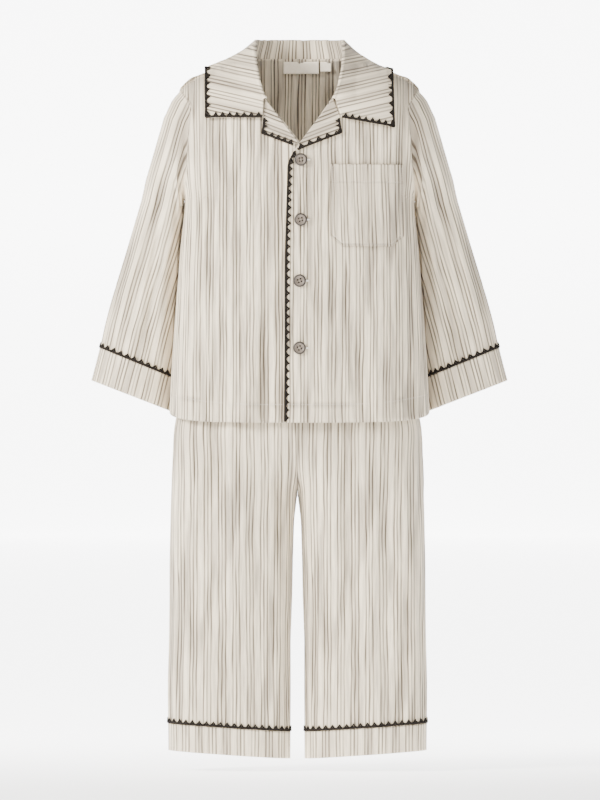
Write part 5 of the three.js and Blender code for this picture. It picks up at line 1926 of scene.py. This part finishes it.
    def edge_collar(self) -> None:
        """Builds the edging round the collar, from notch to notch."""
        corner, top = self.collar.front / 2, self.collar.top / 2
        first, last, step, wide = 0.001, 0.999, 0.004, 120
        parts = ((first, 0.5 - corner, "collar_front"), (0.5 - corner, 0.5 - top, "collar_side"),
                 (0.5 - top, 0.5 + top, "collar_back"), (0.5 + top, 0.5 + corner, "collar_side"),
                 (0.5 + corner, last, "collar_front"))
        runs = []
        for start, end, kind in parts:
            def edge(share: Array, into: float) -> Array:
                """Places points on the collar's edge, or into the fall."""
                u = np.clip(lerp(start, end, share), start, end)
                return self.collar.point(u, np.full_like(u, 1 - into / wide))
            share = even_steps(lambda s: edge(s, 0), self.trim_teeth[kind], False)
            here = edge(share, 0)
            along = unit(edge(np.minimum(1, share + step), 0) - edge(np.maximum(0, share - step), 0))
            into = edge(share, 4) - here
            into = unit(into - along * dot(into, along))
            normal = unit(np.cross(along, into))
            out = here * np.array([0.5, 1, 1]) + np.array([0, 0, 60])
            runs.append((here, into, normal * np.where(dot(normal, out) < 0, -1, 1)))
        at, inward, normal = join_runs(runs)
        Edging("edging_collar", "trim_collar", at + normal * TRIM_LIFT, inward, normal, self.finishes.yarn,
               tooth=5.4, base=0.43).build()

    def edge_lapel(self, lapel: Lapel) -> None:
        """Builds the edging of one lapel, down its side and along its foot."""
        face = self.body.front_y(lapel.side)
        corners = np.array([lapel.top, lapel.tip, lapel.end], float)
        inside = np.array(lapel.gorge) * 0.6 + np.array(lapel.start) * 0.4
        lift, runs = CLOTH + 2 * LAP, []
        for a, b, kind in zip(corners, corners[1:], ("lapel_side", "lapel_foot")):
            way = (b - a) / np.linalg.norm(b - a)
            across = np.array([-way[1], way[0]])
            if across @ (inside - (a + b) / 2) < 0:
                across = -across
            share = np.linspace(0, 1, self.trim_teeth[kind] + 1)[:, None]
            flat = lerp(a, b, share)
            here = on_face(face, flat[:, 0], flat[:, 1], lift)
            near = flat + 2 * across
            into = unit(on_face(face, near[:, 0], near[:, 1], lift) - here)
            runs.append((here, into, np.array(FRONT) + 0 * here))
        at, inward, normal = join_runs(runs)
        Edging(f"edging_lapel_{lapel.side.word}", f"trim_lapel_{lapel.side.word}", at + normal * TRIM_LIFT,
               inward, normal, self.finishes.yarn, tooth=5.2, base=0.43).build()

    def build_sewing(self) -> None:
        """Builds the stitches of the hem and the pocket."""
        rows = []
        for side in Side:
            face, edge = self.body.front_y(side), self.body.edges[side]
            inner = float(edge(HEM_CENTRE + self.body.hem_deep)) + side.value * self.stitch_from
            rows.append(self.on_body(face, -1, inner, side.value * self.stitch_to))
        rows.append(self.on_body(self.body.back_y, 1, -self.stitch_to, self.stitch_to))
        Stitches("stitches_hem", self.finishes.thread, rows).build()
        pocket = self.pocket
        chamfer_z = pocket.bottom + pocket.chamfer_z
        corners = [(pocket.left, pocket.top), (pocket.left, chamfer_z),
                   (pocket.left + pocket.chamfer_x, pocket.bottom),
                   (pocket.right - pocket.chamfer_x, pocket.bottom), (pocket.right, chamfer_z),
                   (pocket.right, pocket.top)]
        middle = np.array([(pocket.left + pocket.right) / 2, (pocket.top + pocket.bottom) / 2])
        half = np.array([42, 47])
        inner = [middle + (np.array(c) - middle) * (1 - pocket.inset / half) for c in corners]
        rows = [self.on_pocket(a, b) for a, b in zip(inner, inner[1:])]
        start, end = pocket.left + self.stitch_from, pocket.right - self.stitch_from
        rows.append(self.on_pocket(np.array([start, pocket.hem_z]), np.array([end, pocket.hem_z])))
        Stitches("stitches_pocket", self.finishes.thread, rows, width=0.38).build()

    def on_body(self, face: Face, side: int, start: float, end: float) -> tuple[Array, Array]:
        """Returns a row of stitches along the hem."""
        def place(share: Array, lift: float) -> Array:
            """Places points above the hem's groove."""
            x = lerp(start, end, share)
            z = self.body.hem(x) + self.body.hem_deep
            return on_face(face, x, z, lift - self.hem_sunk, side)
        return row_of(place, abs(end - start) * self.hem_bow)

    def on_pocket(self, a: Array, b: Array) -> tuple[Array, Array]:
        """Returns a row of stitches on the pocket."""
        face = self.body.front_y(Side.LEFT)
        lift = self.pocket.wall + self.pocket.lift

        def place(share: Array, more: float) -> Array:
            """Places points on the pocket's face."""
            x, z = lerp(a[0], b[0], share), lerp(a[1], b[1], share)
            return on_face(face, x, z, lift + more - self.pocket_sunk)
        return row_of(place, float(np.linalg.norm(b - a)))


@dataclass
class TrouserPair:
    """The trousers: four panels, hem bands with edging, and the waistband."""

    finishes: Finishes
    form: Trousers = field(default_factory=Trousers)
    teeth: int = 43
    shifts: tuple[tuple[int, str, float], ...] = ((-1, "front", 2.0), (1, "back", 8.0))
    band_shift: float = 6.0
    waist_way: float = 470

    def build(self) -> None:
        """Builds every piece of the trousers."""
        f, form = self.finishes, self.form
        for side in Side:
            for face, word, shift in self.shifts:
                name = f"trouser_{word}_{side.word}"
                Panel(f"cloth_{name}", name, form.panel(side, face), form.grain(side, shift), 124, 110,
                      (0.5, 0.2, (0, face, 0)), (188, 462), "hung", ["waistband"], "striped_cloth", f.stripes,
                      seam=form.fork_shade).build()
            Panel(f"cloth_leg_band_{side.word}", f"leg_band_{side.word}", form.band(side),
                  form.band_grain(self.band_shift), 140, 14, (0.5, 0.5, (side.value, 0, 0)), (340, 32),
                  "hung", [f"trouser_front_{side.word}"], "band_cloth", f.bands, closed=True,
                  crinkle=0.6).build()
            self.edge_leg(side)

        def pattern(u: Array, v: Array, points: Array) -> Array:
            """Reads the way round the waistband and the height."""
            return np.stack([u * self.waist_way, points[:, 2]], -1)
        Panel("cloth_waistband", "waistband", form.waist_point, pattern, 420, 14, (0.25, 0.5, (1, 0, 0)),
              (560, 28), "gathered", ["trouser_back_right"], "band_cloth", f.bands, closed=True,
              thick=form.elastic, crinkle=0).build()

    def edge_leg(self, side: Side) -> None:
        """Builds the pointed edging over a hem band."""
        form = self.form

        def seam(share: Array, into: float) -> Array:
            """Places points round the band's seam."""
            return form.ring(side, np.mod(share, 1), lambda x: form.seam_z - form.drop(x) + into)
        share = even_steps(lambda s: seam(s, 0), self.teeth, True)
        middle = np.array([side.value * form.leg_middle + form.middle_x, 0, form.seam_z])
        at, inward, normal = edge_frame(seam, share, lambda p: (p - middle) * np.array([1, 1, 0]))
        Edging(f"edging_leg_{side.word}", f"trim_leg_{side.word}", at + normal * TRIM_LIFT, inward, normal,
               self.finishes.yarn, closed=True, base=0.5).build()


# The studio


@dataclass
class Studio:
    """Pale paper behind and below the set, soft lights and the camera."""

    camera_at: Triple = (0.0006, -8.0, -0.37375)
    lens: float = 313.04
    floor_z: float = -0.80
    back_y: float = 15.0
    paper_half: float = 15.0
    paper_bend: float = 1.0
    paper_high: float = 4.0
    floor_share: float = 0.45
    wall_share: float = 0.35
    aim: Triple = (0, 0, -0.37)

    def build(self) -> None:
        """Builds the paper, the lights and the camera."""
        self.build_paper()
        self.add_light("key", (-2.1, -1.45, 0.8), 0.9, 165, (1.0, 0.97, 0.93))
        self.add_light("fill", (1.8, -1.8, 0.2), 1.8, 8, (1.0, 0.97, 0.94))
        self.add_light("front", (0.0, -2.8, 0.9), 1.6, 50, (1.0, 0.97, 0.94))
        world = bpy.data.worlds.new("studio")
        world.use_nodes = True
        world.node_tree.nodes["Background"].inputs["Color"].default_value = (1, 1, 1, 1)
        world.node_tree.nodes["Background"].inputs["Strength"].default_value = 0.3
        bpy.context.scene.world = world
        data = bpy.data.cameras.new("camera")
        data.lens, data.sensor_width = self.lens, 36
        camera = bpy.data.objects.new("camera", data)
        camera.location = self.camera_at
        camera.rotation_euler = (math.pi / 2, 0, 0)
        bpy.context.scene.collection.objects.link(camera)
        bpy.context.scene.camera = camera

    def build_paper(self) -> None:
        """Builds one sweep of paper: a floor that curves up into a wall."""
        low, far, bend, half = self.floor_z, self.back_y, self.paper_bend, self.paper_half
        floor, wall = self.floor_share, self.wall_share

        def point(u: Array, v: Array) -> Array:
            """Places the sweep's points, given in millimetres."""
            turn = between(v, floor, 1 - wall) * math.pi / 2
            y = np.where(v < floor, lerp(-half, far - bend, v / floor), far - bend + bend * np.sin(turn))
            z = low + bend * (1 - np.cos(turn)) + np.maximum(0, v - 1 + wall) / wall * self.paper_high
            return stack(lerp(-half, half, u), y, z) / MM
        mesh = grid_mesh("paper", point, 8, 80, outward=(0.5, 0.1, (0, 0, 1)))
        add_object(mesh, Backdrop().material())

    def add_light(self, name: str, at: Way, size: float, power: float, colour: Way) -> None:
        """Adds a square soft light that faces the set.

        Args:
            name: The light's name.
            at: Its place in metres.
            size: Its side in metres.
            power: Its power in watts.
            colour: Its colour.
        """
        data = bpy.data.lights.new(name, "AREA")
        data.size, data.energy, data.color = size, power, colour
        light = bpy.data.objects.new(name, data)
        light.location = at
        way = Vector(self.aim) - Vector(at)
        light.rotation_euler = way.to_track_quat("-Z", "Y").to_euler()
        bpy.context.scene.collection.objects.link(light)


def main() -> None:
    """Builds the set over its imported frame, and the studio round it."""
    logging.basicConfig(level=logging.INFO, format="%(name)s: %(message)s")
    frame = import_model()
    LOG.info("frame of %d nodes", len(frame["nodes"]))
    finishes = Finishes()
    Jacket(finishes).build()
    TrouserPair(finishes).build()
    Studio().build()


if __name__ == "__main__":
    main()
